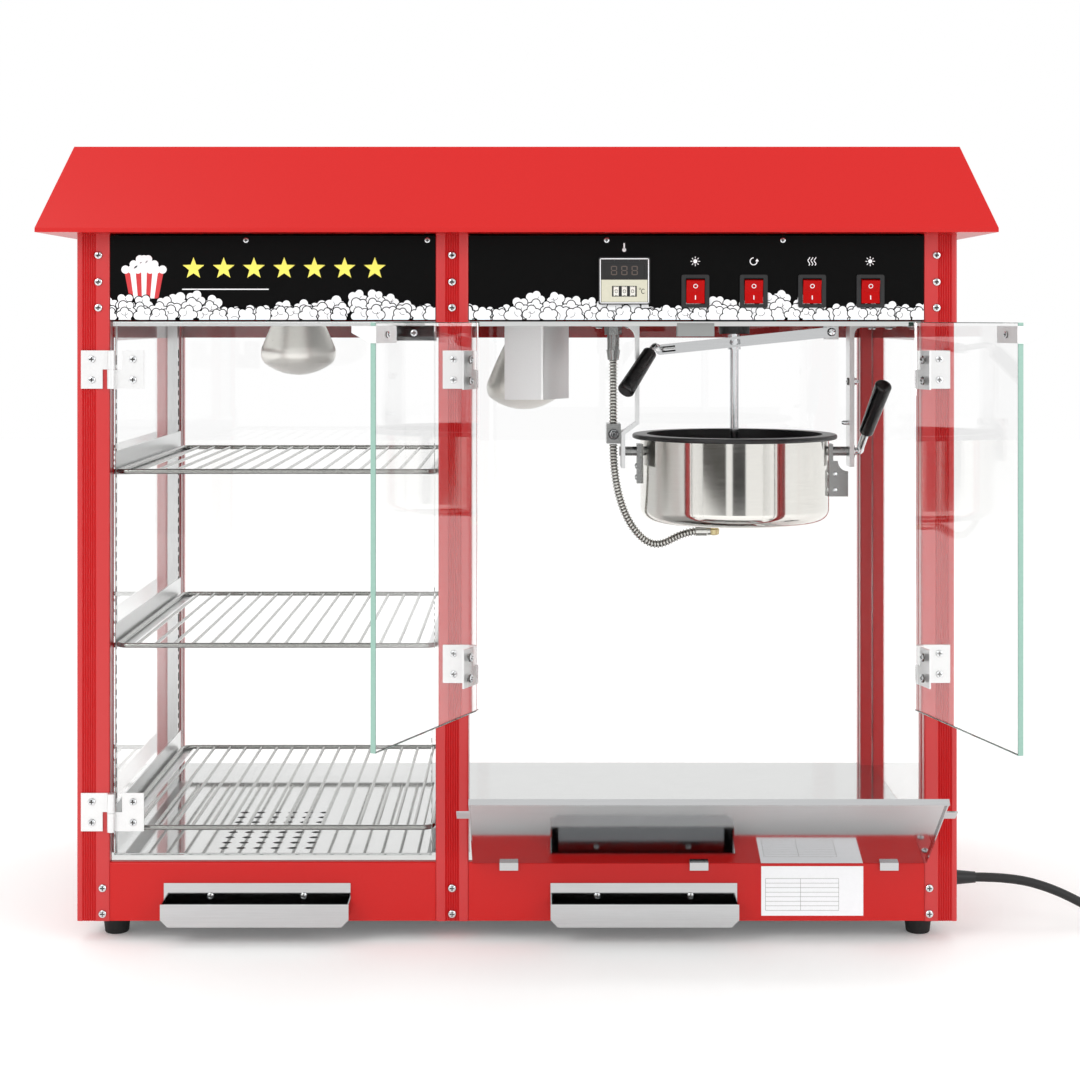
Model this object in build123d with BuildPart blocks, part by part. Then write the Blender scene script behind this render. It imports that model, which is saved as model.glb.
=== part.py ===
from build123d import *
import math
import os

# Countertop popcorn maker with a warming cabinet. A shelved warmer stands on the left, a
# popping chamber with a tilting kettle on the right, under one pitched roof.
# X points right, Y to the back, Z up. The origin is on the ground under the middle of the
# cabinet. Lengths are millimetres, angles degrees. The two popper doors stand open, the
# serving flap is tipped out and the stirrer shaft is lifted.

os.makedirs("parts", exist_ok=True)

# Cabinet frame
cabinet_width = 854
cabinet_depth = 430
foot_height = 20
base_height = 57
chamber_height = 526
header_height = 84
popper_opening = 442
post_side = 32
post_round = 2
flute_size = 1.6
flute_pitch = 2.3
flute_count = 6
flute_start = 6
sheet = 1.5
bend = 1.6
glass = 5
glass_bite = 7
groove_clearance = 0.5
panel_gap = 0.2
face_step = 1
flange = 12
seat_clearance = 0.3
foot_top_radius = 14
foot_sole_radius = 11.5
foot_inset = 32
foot_setback = 35

# Roof
eave = 33
eave_lip = 4
roof_rise = 80
roof_run = 31
roof_ledge = 72

# Ceiling, floors and partition
ceiling_gap = 3
ceiling_setback = 9
ceiling_lip = 3
upper_panel_drop = 18
floor_rise = 8
floor_setback = 6
slot_length = 10
slot_width = 3.5
slot_pitch_x = 16.8
slot_pitch_y = 20.7
slot_columns = 6
slot_rows = 8
slot_setback = 97
warmer_slot_shift = -9

# Shelves
standard_depth = 11.5
standard_width = 14
standard_slot = 3
standard_slot_height = 9
standard_slot_pitch = 34
bracket_leg = 16
bracket_height = 22
shelf_rim_wire = 5
shelf_wire = 3.2
shelf_wires = 16
shelf_corner = 10
shelf_front_gap = 15
shelf_side_gap = 1.5
shelf_heights = (22, 200, 370)

# Doors
door_gap = 1.5
hinge_setback = 0.8
door_meeting_gap = 3
hinge_radius = 4
hinge_pin = 1.8
hinge_clearance = 0.3
leaf_width = 21
leaf_height = 37
leaf_sheet = 1.5
leaf_neck = 6
hinge_inset = 46
catch_sheet = 1.2
catch_length = 38
catch_height = 15
catch_drop = 3
pull_length = 18
left_door_open = 113
right_door_open = 104
magnet_depth = 18
magnet_height = 13
magnet_width = 18
magnet_gap = 0.6

# Serving flap
flap_length = 147
flap_sheet = 1.2
flap_tilt = 53
flap_hem = 6
flap_edge = 4
flap_gap = 0.4
flap_hook = 18
flap_hook_drop = 8
flap_tab = 12
flap_tab_height = 14
flap_tab_level = 113
flap_inset = 4

# Drawers
drawer_width = 160
drawer_depth = 350
drawer_height = 30
drawer_wall = 1.2
drawer_clearance = 3
pull_width = 181
pull_height = 37
pull_lip = 22
pull_depth = 22
pull_chamfer = 7
water_drawer_shift = -15
crumb_drawer_shift = -51

# Lamps
lamp_radius = 40
lamp_length = 112
lamp_cap_radius = 13.5
lamp_holder_radius = 34
warmer_lamp_drop = 56
popper_lamp_drop = 93
popper_lamp_offset = -2.625
shield_height = 81
shield_gap = 6
shield_front = 40
shield_side = 32
shield_turn = 58

# Kettle
kettle_offset = 164
kettle_drop = 138
pot_radius = 101
pot_wall = 1.2
pot_below_axis = 74
pot_corner = 14
liner_wall = 1.5
liner_gap = 5.5
liner_floor_gap = 8.3
rim_overhang = 8.5
rim_height = 5
rim_above_axis = 19
pivot_radius = 5
pivot_clearance = 0.4
element_radius = 60
element_tube = 3.5
hanger_thick = 5
hanger_width = 26
hanger_flange = 50
hanger_below_axis = 16
hanger_gap = 12.5
left_arm_thick = 4
left_arm_width = 22
left_arm_back = -12
left_arm_inset = 5
left_leg_gap = 15
bracket_wall = 5
bracket_width = 18
rod_radius = 4
rod_bend_out = 5.5
rod_bend_forward = 10
rod_bend_up = 6
grip_radius = 9
grip_taper = 1.5
grip_foot_out = 8.5
grip_foot_forward = 24
grip_foot_up = 21
grip_head_out = 20.5
grip_head_forward = 68
grip_head_up = 74

# Stirrer and its drive
shaft_radius = 4.75
shaft_clearance = 0.45
shaft_lift_gap = 2
tongue_thick = 3
tongue_height = 10
stirrer_post_radius = 5
stirrer_post_gap = 6
stirrer_slot = 4
stirrer_slot_depth = 7
stirrer_edge_gap = 14
stirrer_blade = 9
stirrer_bar = 5
bearing_radius = 17
bearing_height = 12
collar_radius = 7.5
collar_height = 10
shoulder_height = 2.6
motor_width = 84
motor_depth = 66
gearbox_height = 30
motor_radius = 30
motor_height = 58
lever_reach = 103
lever_drop = 10
lever_slope = 5.9
lever_length = 184
lever_height = 11
lever_thick = 3
lever_front = -11
lever_pin = 3
lever_rod_left = 8
lever_rod_forward = 33
lever_rod_up = 5
lever_grip_left = 33
lever_grip_forward = 37
lever_grip_drop = 48
lever_neck = 9
collar_pin = 2.5

# Armoured conduit
hose_crest = 4.6
hose_root = 3.9
hose_bore = 3
hose_pitch = 4.2
clamp_width = 15
clamp_height = 21
gland_drop = 36

# Header fittings
controller_width = 50
controller_height = 46
controller_depth = 48
controller_proud = 5
controller_offset = 291
controller_level = 38
wheel_radius = 9
wheel_width = 5
wheel_pitch = 8
wheel_clearance = 0.5
wheel_proud = 0.8
switch_width = 27
switch_height = 32
switch_depth = 22
switch_proud = 2
switch_pitch = 56.6
switch_offset = 52.2
switch_level = 28
rocker_width = 17.5
rocker_height = 23
rocker_angle = 7
rocker_clearance = 0.6

# Mains cord
cord_radius = 4.5
gland_setback = 47
gland_level = 30
gland_nut = 9
relief_length = 30
coil_radius = 59
coil_gap = 0.7
coil_layer_quarters = 7
coil_lead = 200
plug_radius = 18
plug_length = 38
plug_pin_length = 19
plug_pin_pitch = 19

# Places worked out from the values above
left_face = -cabinet_width / 2
right_face = cabinet_width / 2
front_face = -cabinet_depth / 2
rear_face = cabinet_depth / 2
base_bottom = foot_height
base_top = base_bottom + base_height
header_bottom = base_top + chamber_height
post_top = header_bottom + header_height
left_inner = left_face + post_side
right_inner = right_face - post_side
middle_right = right_inner - popper_opening
middle_left = middle_right - post_side
warmer_opening = middle_left - left_inner
middle_x = (middle_left + middle_right) / 2
post_rear = front_face + post_side
rear_post_front = rear_face - post_side
post_centre_y = front_face + post_side / 2
post_centres = [
    (left_face + post_side / 2, post_centre_y),
    (middle_x, post_centre_y),
    (right_face - post_side / 2, post_centre_y),
    (left_face + post_side / 2, -post_centre_y),
    (right_face - post_side / 2, -post_centre_y),
]
pane_x = right_face - post_side / 2
pane_y = rear_face - post_side / 2
room_x = pane_x - glass / 2
room_y = pane_y - glass / 2
wall_x = pane_x + glass / 2 + panel_gap
wall_y = pane_y + glass / 2 + panel_gap
front_outer = front_face + face_step
front_inner = front_outer + sheet
ceiling_z = header_bottom - ceiling_gap
ceiling_top = ceiling_z + sheet
ceiling_front = front_face + ceiling_setback
floor_z = base_top + floor_rise
floor_front = front_face + floor_setback
partition_left = middle_x - sheet / 2
partition_right = middle_x + sheet / 2
warmer_centre = (left_inner + middle_left) / 2
popper_centre = (middle_right + right_inner) / 2
water_drawer_x = warmer_centre + water_drawer_shift
crumb_drawer_x = popper_centre + crumb_drawer_shift
kettle_x = right_inner - kettle_offset
liner_radius = pot_radius - liner_gap
rim_radius = pot_radius + rim_overhang
right_arm = kettle_x + rim_radius + hanger_gap
left_leg = kettle_x - rim_radius - left_leg_gap + left_arm_thick * 1.5
left_arm = left_leg + 2.5 * left_arm_thick + left_arm_inset
left_flange_end = left_arm - hanger_flange
stirrer_reach = liner_radius - liner_wall - stirrer_edge_gap
axis_z = ceiling_z - kettle_drop
hinge_y = front_face - hinge_radius
door_top = header_bottom - ceiling_gap + 1
flap_axis_y = front_face - flap_gap
flap_axis_z = base_top + flap_gap
warmer_door_bottom = floor_z - 1
popper_door_bottom = flap_axis_z + flap_length + door_gap
popper_lamp_x = (partition_right + left_flange_end) / 2 + popper_lamp_offset

# Fluted posts: four corners of one section, grooved for the panes, and the middle one
groove_width = glass + 2 * groove_clearance
groove_depth = glass_bite + groove_clearance
flutes = [flute_start + i * flute_pitch for i in range(flute_count)]
middle_flutes = [middle_left + (post_side - (flute_count - 1) * flute_pitch) / 2 + i * flute_pitch
                 for i in range(flute_count)]
with BuildPart() as posts:
    with BuildSketch(Plane.XY.offset(base_bottom)) as corner_section:
        with Locations(post_centres[0]):
            RectangleRounded(post_side, post_side, post_round)
        with Locations([(left_face + s, front_face) for s in flutes]):
            Rectangle(flute_size, flute_size, rotation=45, mode=Mode.SUBTRACT)
        with Locations([(left_face, front_face + s) for s in flutes]):
            Rectangle(flute_size, flute_size, rotation=45, mode=Mode.SUBTRACT)
        with Locations((left_inner, post_centre_y)):
            Rectangle(2 * groove_depth, groove_width, mode=Mode.SUBTRACT)
        with Locations((-pane_x, post_rear)):
            Rectangle(groove_width, 2 * groove_depth, mode=Mode.SUBTRACT)
    extrude(amount=post_top - base_bottom)
    mirror(about=Plane.YZ)
    mirror(about=Plane.XZ)
    with BuildSketch(Plane.XY.offset(base_bottom)) as middle_section:
        with Locations(post_centres[1]):
            RectangleRounded(post_side, post_side, post_round)
        with Locations([(x, front_face) for x in middle_flutes]):
            Rectangle(flute_size, flute_size, rotation=45, mode=Mode.SUBTRACT)
    extrude(amount=post_top - base_bottom)
posts.part.label = "posts"
export_step(posts.part, "parts/posts.step")

# Bottom plate of the base, notched round the posts
with BuildPart() as base_pan:
    with BuildSketch(Plane.XY.offset(base_bottom)) as pan_outline:
        with Locations((0, (front_inner + wall_y) / 2)):
            Rectangle(2 * wall_x, wall_y - front_inner)
        with Locations(post_centres):
            Rectangle(post_side, post_side, mode=Mode.SUBTRACT)
    extrude(amount=sheet)
base_pan.part.label = "base_pan"
export_step(base_pan.part, "parts/base_pan.step")

# Side and rear walls: the base ones fold in under the glass, the upper ones hang below the ceiling
fold_z = base_top - sheet / 2
upper_bottom = ceiling_z - upper_panel_drop
with BuildPart() as wall_panels:
    with BuildSketch(Plane.XZ) as side_fold:
        with BuildLine():
            FilletPolyline(
                (wall_x + sheet / 2, base_bottom),
                (wall_x + sheet / 2, fold_z),
                (wall_x + sheet / 2 - flange, fold_z),
                radius=bend,
            )
        trace(line_width=sheet)
        with Locations((wall_x + sheet / 2, (upper_bottom + post_top) / 2)):
            Rectangle(sheet, post_top - upper_bottom)
    extrude(amount=rear_post_front, both=True)
    mirror(about=Plane.YZ)
    with BuildSketch(Plane.YZ) as rear_fold:
        with BuildLine():
            FilletPolyline(
                (wall_y + sheet / 2, base_bottom),
                (wall_y + sheet / 2, fold_z),
                (wall_y + sheet / 2 - flange, fold_z),
                radius=bend,
            )
        trace(line_width=sheet)
        with Locations((wall_y + sheet / 2, (upper_bottom + post_top) / 2)):
            Rectangle(sheet, post_top - upper_bottom)
    extrude(amount=right_inner, both=True)
wall_panels.part.label = "wall_panels"
export_step(wall_panels.part, "parts/wall_panels.step")

# Base fronts between the posts, each with a drawer opening and a folded top edge
drawer_bottom = base_bottom + sheet + drawer_clearance
drawer_middle = drawer_bottom + drawer_height / 2
with BuildPart() as base_front_panels:
    for low_x, high_x, drawer_x in (
        (left_inner, middle_left, water_drawer_x),
        (middle_right, right_inner, crumb_drawer_x),
    ):
        with BuildSketch(Plane.YZ.offset(low_x)) as front_fold:
            with BuildLine():
                FilletPolyline(
                    (front_outer + sheet / 2, base_bottom),
                    (front_outer + sheet / 2, fold_z),
                    (front_outer + sheet / 2 + flange, fold_z),
                    radius=bend,
                )
            trace(line_width=sheet)
        extrude(amount=high_x - low_x)
        with Locations((drawer_x, front_outer + sheet / 2, drawer_middle)):
            Box(
                drawer_width + 2 * drawer_clearance,
                2 * sheet,
                drawer_height + drawer_clearance,
                mode=Mode.SUBTRACT,
            )
base_front_panels.part.label = "base_front_panels"
export_step(base_front_panels.part, "parts/base_front_panels.step")

# Rubber feet, a little narrower at the sole
foot_pitch_x = cabinet_width - 2 * foot_inset
foot_pitch_y = cabinet_depth - 2 * foot_setback
foot_taper = -math.degrees(math.atan((foot_top_radius - foot_sole_radius) / foot_height))
with BuildPart() as rubber_feet:
    with BuildSketch() as foot_soles:
        with GridLocations(foot_pitch_x, foot_pitch_y, 2, 2):
            Circle(foot_sole_radius)
    extrude(amount=foot_height, taper=foot_taper)
    fillet(rubber_feet.edges().group_by(Axis.Z)[0], radius=foot_height / 10)
rubber_feet.part.label = "rubber_feet"
export_step(rubber_feet.part, "parts/rubber_feet.step")

# Ceiling plate with holes for the lamps and the stirrer shaft, and a lip along each opening
with BuildPart() as ceiling_plate:
    with BuildSketch(Plane.XY.offset(ceiling_z)) as ceiling_outline:
        with Locations((0, (ceiling_front + room_y) / 2)):
            Rectangle(2 * (room_x - seat_clearance), room_y - seat_clearance - ceiling_front)
        with Locations(post_centres):
            Rectangle(post_side, post_side, mode=Mode.SUBTRACT)
        with Locations((warmer_centre, 0), (popper_lamp_x, 0)):
            Circle(lamp_holder_radius - 4, mode=Mode.SUBTRACT)
        with Locations((kettle_x, 0)):
            Circle(shaft_radius + 4, mode=Mode.SUBTRACT)
    extrude(amount=sheet)
    for low_x, high_x in ((left_inner, middle_left), (middle_right, right_inner)):
        with BuildSketch(Plane.XY.offset(ceiling_z)) as lip_outline:
            with Locations(((low_x + high_x) / 2, ceiling_front + sheet / 2)):
                Rectangle(high_x - low_x, sheet)
        extrude(amount=-ceiling_lip)
ceiling_plate.part.label = "ceiling_plate"
export_step(ceiling_plate.part, "parts/ceiling_plate.step")

# Sign panel and control panel between the posts, with the openings for the controller and switches
header_top = post_top - ceiling_gap + 1
header_middle = (header_bottom + header_top) / 2
controller_x = right_inner - controller_offset
controller_z = header_bottom + controller_level
switch_z = header_bottom + switch_level
switch_xs = [right_inner - switch_offset - i * switch_pitch for i in (3, 2, 1, 0)]
cutout_margin = 4
header_thick = 2
header_plane = Plane.XZ.offset(-front_outer)
with BuildPart() as header_panels:
    with BuildSketch(header_plane) as header_outline:
        with Locations((warmer_centre, header_middle)):
            Rectangle(warmer_opening, header_top - header_bottom)
        with Locations((popper_centre, header_middle)):
            Rectangle(popper_opening, header_top - header_bottom)
        with Locations((controller_x, controller_z)):
            Rectangle(
                controller_width - cutout_margin,
                controller_height - cutout_margin,
                mode=Mode.SUBTRACT,
            )
        with Locations([(x, switch_z) for x in switch_xs]):
            Rectangle(
                switch_width - cutout_margin, switch_height - cutout_margin, mode=Mode.SUBTRACT
            )
    extrude(amount=-header_thick)
header_panels.part.label = "header_panels"
export_step(header_panels.part, "parts/header_panels.step")

# Pitched roof shell: a low lip, four sloping sides, a flat top and a ledge on the posts
roof_width = cabinet_width + 2 * eave
roof_depth = cabinet_depth + 2 * eave
with BuildPart() as roof_shell:
    with BuildSketch(Plane.XY.offset(post_top)) as eave_outline:
        Rectangle(roof_width, roof_depth)
    extrude(amount=eave_lip)
    with BuildSketch(Plane.XY.offset(post_top + eave_lip)) as slope_foot:
        Rectangle(roof_width, roof_depth)
    with BuildSketch(Plane.XY.offset(post_top + eave_lip + roof_rise)) as slope_head:
        Rectangle(roof_width - 2 * roof_run, roof_depth - 2 * roof_run)
    loft()
    offset(amount=-sheet, openings=roof_shell.faces().sort_by(Axis.Z)[0])
    with BuildSketch(Plane.XY.offset(post_top)) as ledge_outline:
        Rectangle(roof_width, roof_depth)
        Rectangle(roof_width - 2 * roof_ledge, roof_depth - 2 * roof_ledge, mode=Mode.SUBTRACT)
    extrude(amount=sheet)
roof_shell.part.label = "roof_shell"
export_step(roof_shell.part, "parts/roof_shell.step")

# Fixed panes: two sides and the back, standing on the folded base walls
with BuildPart() as fixed_glass:
    with BuildSketch(Plane.XY.offset(base_top)) as pane_feet:
        with Locations((-pane_x, 0), (pane_x, 0)):
            Rectangle(glass, 2 * (rear_post_front + glass_bite))
        with Locations((0, pane_y)):
            Rectangle(2 * (right_inner + glass_bite), glass)
    extrude(amount=ceiling_z - base_top)
fixed_glass.part.label = "fixed_glass"
export_step(fixed_glass.part, "parts/fixed_glass.step")

# Sheet partition between the warmer and the popper, from the middle post to the back pane
with BuildPart() as partition_panel:
    with BuildSketch(Plane.XY.offset(base_top)) as partition_foot:
        with Locations((middle_x, (post_rear + room_y) / 2)):
            Rectangle(sheet, room_y - post_rear)
    extrude(amount=ceiling_z - base_top)
partition_panel.part.label = "partition_panel"
export_step(partition_panel.part, "parts/partition_panel.step")

# Warmer floor: polished sheet with rows of steam slots, resting on folded front and back edges
floor_length = room_y - seat_clearance - floor_front
floor_middle_y = (floor_front + room_y - seat_clearance) / 2
edge_ys = (floor_front + sheet / 2, room_y - seat_clearance - sheet / 2)
slot_y = front_face + slot_setback
with BuildPart() as warmer_floor:
    with BuildSketch(Plane.XY.offset(floor_z - sheet)) as warmer_outline:
        warmer_low = -room_x + seat_clearance
        with Locations(((warmer_low + partition_left) / 2, floor_middle_y)):
            Rectangle(partition_left - warmer_low, floor_length)
        with Locations(post_centres):
            Rectangle(post_side, post_side, mode=Mode.SUBTRACT)
        with Locations((warmer_centre + warmer_slot_shift, slot_y)):
            with GridLocations(slot_pitch_x, slot_pitch_y, slot_columns, slot_rows):
                SlotOverall(slot_length, slot_width, mode=Mode.SUBTRACT)
    extrude(amount=sheet)
    for edge_y in edge_ys:
        with BuildSketch(Plane.XY.offset(base_top)) as warmer_edge:
            with Locations((warmer_centre, edge_y)):
                Rectangle(warmer_opening, sheet)
        extrude(amount=floor_rise - sheet)
warmer_floor.part.label = "warmer_floor"
export_step(warmer_floor.part, "parts/warmer_floor.step")

# Popper floor: the same sheet work, with the slots over the crumb drawer
with BuildPart() as popper_floor:
    with BuildSketch(Plane.XY.offset(floor_z - sheet)) as popper_outline:
        popper_high = room_x - seat_clearance
        with Locations(((partition_right + popper_high) / 2, floor_middle_y)):
            Rectangle(popper_high - partition_right, floor_length)
        with Locations(post_centres):
            Rectangle(post_side, post_side, mode=Mode.SUBTRACT)
        with Locations((crumb_drawer_x, slot_y)):
            with GridLocations(slot_pitch_x, slot_pitch_y, slot_columns, slot_rows):
                SlotOverall(slot_length, slot_width, mode=Mode.SUBTRACT)
    extrude(amount=sheet)
    for edge_y in edge_ys:
        with BuildSketch(Plane.XY.offset(base_top)) as popper_edge:
            with Locations((popper_centre, edge_y)):
                Rectangle(popper_opening, sheet)
        extrude(amount=floor_rise - sheet)
popper_floor.part.label = "popper_floor"
export_step(popper_floor.part, "parts/popper_floor.step")

# Shelf standards, slotted channels behind the posts, and the angle brackets hooked into them
standard_y = rear_post_front - standard_width / 2
left_standard_x = -room_x + seat_clearance + standard_depth / 2
right_standard_x = partition_left - standard_depth / 2
left_web = left_standard_x + standard_depth / 2
right_web = right_standard_x - standard_depth / 2
standard_height = ceiling_z - floor_z
standard_slots = int(standard_height / standard_slot_pitch) - 1
shelf_levels = [floor_z + height for height in shelf_heights]
with BuildPart() as standards:
    with BuildSketch(Plane.XY.offset(floor_z)) as channels:
        with Locations(
            [(x, y) for x in (left_standard_x, right_standard_x) for y in (-standard_y, standard_y)]
        ):
            Rectangle(standard_depth, standard_width)
        hollow = standard_width - 2 * sheet
        with Locations([(left_standard_x - sheet, y) for y in (-standard_y, standard_y)]):
            Rectangle(standard_depth, hollow, mode=Mode.SUBTRACT)
        with Locations([(right_standard_x + sheet, y) for y in (-standard_y, standard_y)]):
            Rectangle(standard_depth, hollow, mode=Mode.SUBTRACT)
    extrude(amount=standard_height)
    for web_x in (left_web, right_web):
        with BuildSketch(Plane.YZ.offset(web_x)) as web_slots:
            with Locations((0, floor_z + standard_height / 2)):
                with GridLocations(2 * standard_y, standard_slot_pitch, 2, standard_slots):
                    Rectangle(standard_slot, standard_slot_height)
        extrude(amount=1.5 * sheet, both=True, mode=Mode.SUBTRACT)
with BuildPart() as brackets:
    for level in shelf_levels:
        rest_z = level - shelf_rim_wire / 2 - sheet / 2
        with BuildSketch(Plane.XZ) as angles:
            for web_x, inward in ((left_web, 1), (right_web, -1)):
                with BuildLine():
                    FilletPolyline(
                        (web_x + inward * sheet / 2, rest_z + bracket_height),
                        (web_x + inward * sheet / 2, rest_z),
                        (web_x + inward * bracket_leg, rest_z),
                        radius=bend,
                    )
                trace(line_width=sheet)
        extrude(amount=rear_post_front, both=True)
shelf_supports = Compound(children=[standards.part, brackets.part])
shelf_supports.label = "shelf_supports"
export_step(shelf_supports, "parts/shelf_supports.step")

# Chromed wire shelves: a rim wire bent to a rounded frame, crossed by thinner wires
shelf_low_x = left_inner + shelf_side_gap + shelf_rim_wire / 2
shelf_high_x = middle_left - shelf_side_gap - shelf_rim_wire / 2
shelf_low_y = front_face + shelf_front_gap + shelf_rim_wire / 2
shelf_high_y = rear_post_front - shelf_rim_wire / 2
shelf_span = shelf_high_x - shelf_low_x
shelf_reach = shelf_high_y - shelf_low_y
wire_pitch = shelf_span / (shelf_wires + 1)
shelf_middle_x = (shelf_low_x + shelf_high_x) / 2
with BuildPart() as wire_shelves:
    for level in shelf_levels:
        with BuildLine(Plane.XY.offset(level)) as rim_line:
            FilletPolyline(
                (shelf_middle_x, shelf_low_y),
                (shelf_high_x, shelf_low_y),
                (shelf_high_x, shelf_high_y),
                (shelf_low_x, shelf_high_y),
                (shelf_low_x, shelf_low_y),
                (shelf_middle_x, shelf_low_y),
                radius=(0, shelf_corner, shelf_corner, shelf_corner, shelf_corner),
            )
        with BuildSketch(Plane.YZ.offset(shelf_middle_x)) as rim_section:
            with Locations((shelf_low_y, level)):
                Circle(shelf_rim_wire / 2)
        sweep(path=rim_line.wire())
        with BuildSketch(Plane.XZ.offset(-shelf_low_y)) as wire_ends:
            with Locations((shelf_middle_x, level)):
                with GridLocations(wire_pitch, 0, shelf_wires, 1):
                    Circle(shelf_wire / 2)
        extrude(amount=-shelf_reach)
wire_shelves.part.label = "wire_shelves"
export_step(wire_shelves.part, "parts/wire_shelves.step")

# Reflector lamps and the holders that stand over them on the ceiling
lamp_places = ((warmer_centre, ceiling_z - warmer_lamp_drop), (popper_lamp_x, ceiling_z - popper_lamp_drop))
cap_start = 0.77 * lamp_length
with BuildPart() as reflector_lamps:
    for lamp_x, lamp_low in lamp_places:
        lamp_plane = Plane(origin=(lamp_x, 0, lamp_low), x_dir=(1, 0, 0), z_dir=(0, -1, 0))
        with BuildSketch(lamp_plane) as bulb:
            with BuildLine():
                face = ThreePointArc(
                    (0, 0), (0.5 * lamp_radius, 0.09 * lamp_radius), (0.92 * lamp_radius, 0.33 * lamp_radius)
                )
                crown = ThreePointArc(
                    face @ 1, (lamp_radius, 0.56 * lamp_radius), (0.95 * lamp_radius, 0.8 * lamp_radius)
                )
                neck = ThreePointArc(
                    crown @ 1, (0.66 * lamp_radius, 0.52 * lamp_length), (0.4 * lamp_radius, 0.7 * lamp_length)
                )
                Polyline(
                    neck @ 1,
                    (lamp_cap_radius, cap_start),
                    (lamp_cap_radius, lamp_length),
                    (0, lamp_length),
                    (0, 0),
                )
            make_face()
        revolve(axis=Axis((lamp_x, 0, lamp_low), (0, 0, 1)))
reflector_lamps.part.label = "reflector_lamps"
export_step(reflector_lamps.part, "parts/reflector_lamps.step")

holder_wall = 3
with BuildPart() as lamp_holders:
    for lamp_x, lamp_low in lamp_places:
        cap_top = lamp_low + lamp_length
        socket_low = max(lamp_low + cap_start + 2, ceiling_top)
        holder_plane = Plane(origin=(lamp_x, 0, 0), x_dir=(1, 0, 0), z_dir=(0, -1, 0))
        with BuildSketch(holder_plane) as holder:
            with BuildLine():
                Polyline(
                    (lamp_holder_radius, ceiling_top),
                    (lamp_holder_radius, cap_top + 2 * holder_wall),
                    (0, cap_top + 2 * holder_wall),
                    (0, cap_top),
                    (lamp_cap_radius, cap_top),
                    (lamp_cap_radius, socket_low),
                    (lamp_cap_radius + holder_wall, socket_low),
                    (lamp_cap_radius + holder_wall, cap_top + holder_wall),
                    (lamp_holder_radius - holder_wall, cap_top + holder_wall),
                    (lamp_holder_radius - holder_wall, ceiling_top),
                    (lamp_holder_radius, ceiling_top),
                )
            make_face()
        revolve(axis=Axis((lamp_x, 0, 0), (0, 0, 1)))
lamp_holders.part.label = "lamp_holders"
export_step(lamp_holders.part, "parts/lamp_holders.step")

# Lamp shield: a bent sheet under the ceiling, in front of the popper lamp and turned back beside it
shield_y = -lamp_radius - shield_gap
shield_corner_x = popper_lamp_x + lamp_radius / 2
shield_end = (
    shield_corner_x + math.cos(math.radians(shield_turn)) * (shield_side + shield_front / 2),
    shield_y + math.sin(math.radians(shield_turn)) * (shield_side + shield_front / 2),
)
with BuildPart() as lamp_shield:
    with BuildSketch(Plane.XY.offset(ceiling_z)) as shield_plan:
        with BuildLine():
            FilletPolyline(
                (shield_corner_x - shield_front, shield_y),
                (shield_corner_x, shield_y),
                shield_end,
                radius=2 * bend,
            )
        trace(line_width=sheet)
    extrude(amount=-shield_height)
lamp_shield.part.label = "lamp_shield"
export_step(lamp_shield.part, "parts/lamp_shield.step")

# Gear motor over the ceiling, with a blind bore for the stirrer shaft
shaft_top = ceiling_top + gearbox_height + 10
with BuildPart() as stir_motor:
    with BuildSketch(Plane.XY.offset(ceiling_top)) as gearbox_outline:
        with Locations((kettle_x, 0)):
            RectangleRounded(motor_width, motor_depth, 8)
    extrude(amount=gearbox_height)
    with BuildSketch(Plane.XY.offset(ceiling_top + gearbox_height)) as motor_outline:
        with Locations((kettle_x, 0)):
            Circle(motor_radius)
    extrude(amount=motor_height)
    with BuildSketch(Plane.XY.offset(ceiling_top)) as shaft_bore:
        with Locations((kettle_x, 0)):
            Circle(shaft_radius + shaft_clearance)
    extrude(amount=shaft_top - ceiling_top + 5, mode=Mode.SUBTRACT)
stir_motor.part.label = "stir_motor"
export_step(stir_motor.part, "parts/stir_motor.step")

# Moulded bearing hub under the ceiling
with BuildPart() as shaft_bearing:
    with BuildSketch(Plane.XY.offset(ceiling_z)) as hub_outline:
        with Locations((kettle_x, 0)):
            Circle(bearing_radius)
            Circle(shaft_radius + shaft_clearance, mode=Mode.SUBTRACT)
    extrude(amount=-bearing_height, taper=4)
shaft_bearing.part.label = "shaft_bearing"
export_step(shaft_bearing.part, "parts/shaft_bearing.step")

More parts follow.
